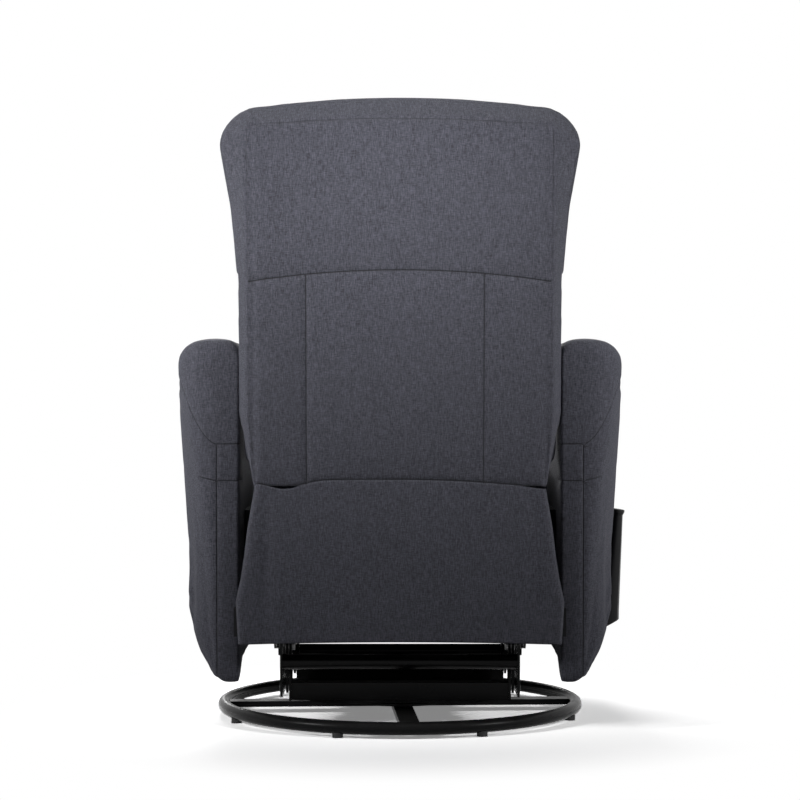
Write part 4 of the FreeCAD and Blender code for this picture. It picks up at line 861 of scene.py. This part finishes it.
def lumbar_channel(points):
    """The channel across the middle of the face."""
    on_face = lumbar_border(points) < 0
    return np.where(on_face, back_local(points)[2] - lumbar_channel_z, 1.0)


def on_frame(points):
    """The rear of the cushion lies on the frame."""
    return np.clip((back_local(points)[1] - frame_face_y) / 0.006, 0, 1)


lumbar_seams = [lumbar_border, lumbar_channel]
lumbar_cover = cut_cover("back_cushion_cover", "back_cushion", 0.007)
fill_cover(lumbar_cover, lumbar_seams, on_frame, pull=0.006, pressure=4.0, swell=0.024)
finish_cover(lumbar_cover, lumbar_seams, cushion_seam_depth, "back", "back_cushion")


# Head cushion
# A broad pillow on the same frame, whose wings stand out past the outside back. The wings
# widen upwards, and one border seam runs round its face.
wing_heights = [0.392, 0.445, 0.505, 0.560, 0.605, 0.640]
wing_halves = [0.2665, 0.2700, 0.2755, 0.2850, 0.2925, 0.2950]
head_seams = [leaning_border([0.392, 0.680], [-0.025, -0.008])]
head_cover = cut_cover("head_cushion_cover", "head_cushion", 0.007)
fill_cover(head_cover, head_seams, on_frame, pull=0.006, pressure=4.0, swell=0.022)
points = points_of(head_cover)
limit = np.interp(back_local(points)[2], wing_heights, wing_halves)
points[:, 0] = np.clip(points[:, 0], -limit, limit)
set_points(head_cover, points)
finish_cover(head_cover, head_seams, cushion_seam_depth, "back", "head_cushion")


# Footrest pad
# A boxed pad on the footrest board, thinner than the cushions, with a border seam round its
# face and one cross seam.
pad_low, pad_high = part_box("ottoman_pad")
pad_border_y = pad_high.y - 0.018
pad_middle_z = (pad_low.z + pad_high.z) / 2
pad_seam_depth = 0.0025


def pad_border(points):
    """The seam between the face and the boxing."""
    return points[:, 1] - pad_border_y


def pad_cross(points):
    """The seam across the face."""
    return np.where(points[:, 1] < pad_border_y, points[:, 2] - pad_middle_z, 1.0)


def pad_rests(points):
    """The back of the pad lies on the board."""
    return np.clip((points[:, 1] - (pad_high.y - 0.012)) / 0.004, 0, 1)


pad_seams = [pad_border, pad_cross]
pad_cover = cut_cover("footrest_cover", "ottoman_pad", 0.007)
fill_cover(pad_cover, pad_seams, pad_rests, pull=0.005, pressure=4.0, swell=0.014)
finish_cover(pad_cover, pad_seams, pad_seam_depth, "ottoman", "ottoman_pad")


# Rear skirt
# One layer of lined cloth that hangs from the lower edge of the back and is tacked to the
# rear stretcher. It is narrow at the top and flares out to its lower corners.
skirt_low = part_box("back_skirt")[0]
skirt_heights = [0.159, 0.223, 0.262, 0.298, 0.342, 0.414]
skirt_halves = [0.262, 0.2655, 0.2570, 0.2513, 0.2463, 0.2340]
skirt_hem_drop = 0.005
skirt_hem_arch = 0.004
skirt_top_gap = 0.0010
skirt_place_y = 0.3235
skirt_tuck = 0.0065
fold_depth = 0.0045
fold_width = 0.045
sag_depth = 0.0016
edge_turn = 0.010
skirt_cloth = 0.0022
skirt_rows = 72
skirt_columns = 120

bpy.ops.object.select_all(action="DESELECT")
bpy.ops.mesh.primitive_grid_add(x_subdivisions=skirt_columns, y_subdivisions=skirt_rows, size=2)
skirt = bpy.context.object
skirt.name = "rear_skirt"
flat = points_of(skirt)
u = flat[:, 0]
v = (flat[:, 1] + 1) / 2
top_edge = lower_edge(u) - skirt_top_gap
hem_edge = skirt_low.z - skirt_hem_drop + skirt_hem_arch * (1 - u * u)
z = hem_edge + (top_edge - hem_edge) * v
half = np.interp(z, skirt_heights, skirt_halves)
rear = skirt_place_y - skirt_tuck * (1 - v) ** 2
from_fold = np.abs(u) - 0.90 + 0.10 * (1 - v)
fold = fold_depth * np.exp(-(from_fold / fold_width) ** 2) * np.sin(math.pi * v)
sag = sag_depth * np.sin(3.2 * u + 1.1) * np.sin(math.pi * v) * (1 - np.abs(u)) ** 0.5
edge = edge_turn * np.clip((np.abs(u) - 0.965) / 0.035, 0, 1) ** 2
set_points(skirt, np.stack([u * half, rear - fold - sag - edge, z], axis=1))
bpy.ops.object.mode_set(mode="EDIT")
bpy.ops.mesh.select_all(action="SELECT")
bpy.ops.mesh.normals_make_consistent(inside=False)
bpy.ops.object.mode_set(mode="OBJECT")
thick = skirt.modifiers.new("cloth", "SOLIDIFY")
thick.thickness = skirt_cloth
thick.offset = 0
bpy.ops.object.modifier_apply(modifier=thick.name)
mark = skirt.data.attributes.new("seam", "FLOAT", "POINT")
mark.data.foreach_set("value", np.ones(len(skirt.data.vertices), dtype=np.float32))
bpy.ops.object.shade_smooth()
skirt.data.materials.append(linen)
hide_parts("back_skirt")
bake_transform(skirt)


# Seat straps
# Wide black elastic webbing woven front to back and side to side under the cushion, and
# stapled to the boards of the seat box.
webbing_black = (0.012, 0.012, 0.013, 1.0)
webbing_grey = (0.06, 0.06, 0.064, 1.0)
webbing_pitch = 0.0018
webbing_depth = 0.0004


def webbing_material():
    """Ribbed elastic webbing."""
    made = bpy.data.materials.new("elastic_webbing")
    made.use_nodes = True
    tree = made.node_tree
    surface = tree.nodes["Principled BSDF"]
    weave = place_group(tree, weave_group, Pitch=webbing_pitch)
    tint = mix_colours(tree, weave.outputs["Tone"], webbing_black, webbing_grey)
    tree.links.new(tint, surface.inputs["Base Color"])
    surface.inputs["Roughness"].default_value = 0.8
    bumped(tree, surface, weave.outputs["Height"], webbing_depth)
    return made


dress(["seat_straps"], webbing_material())
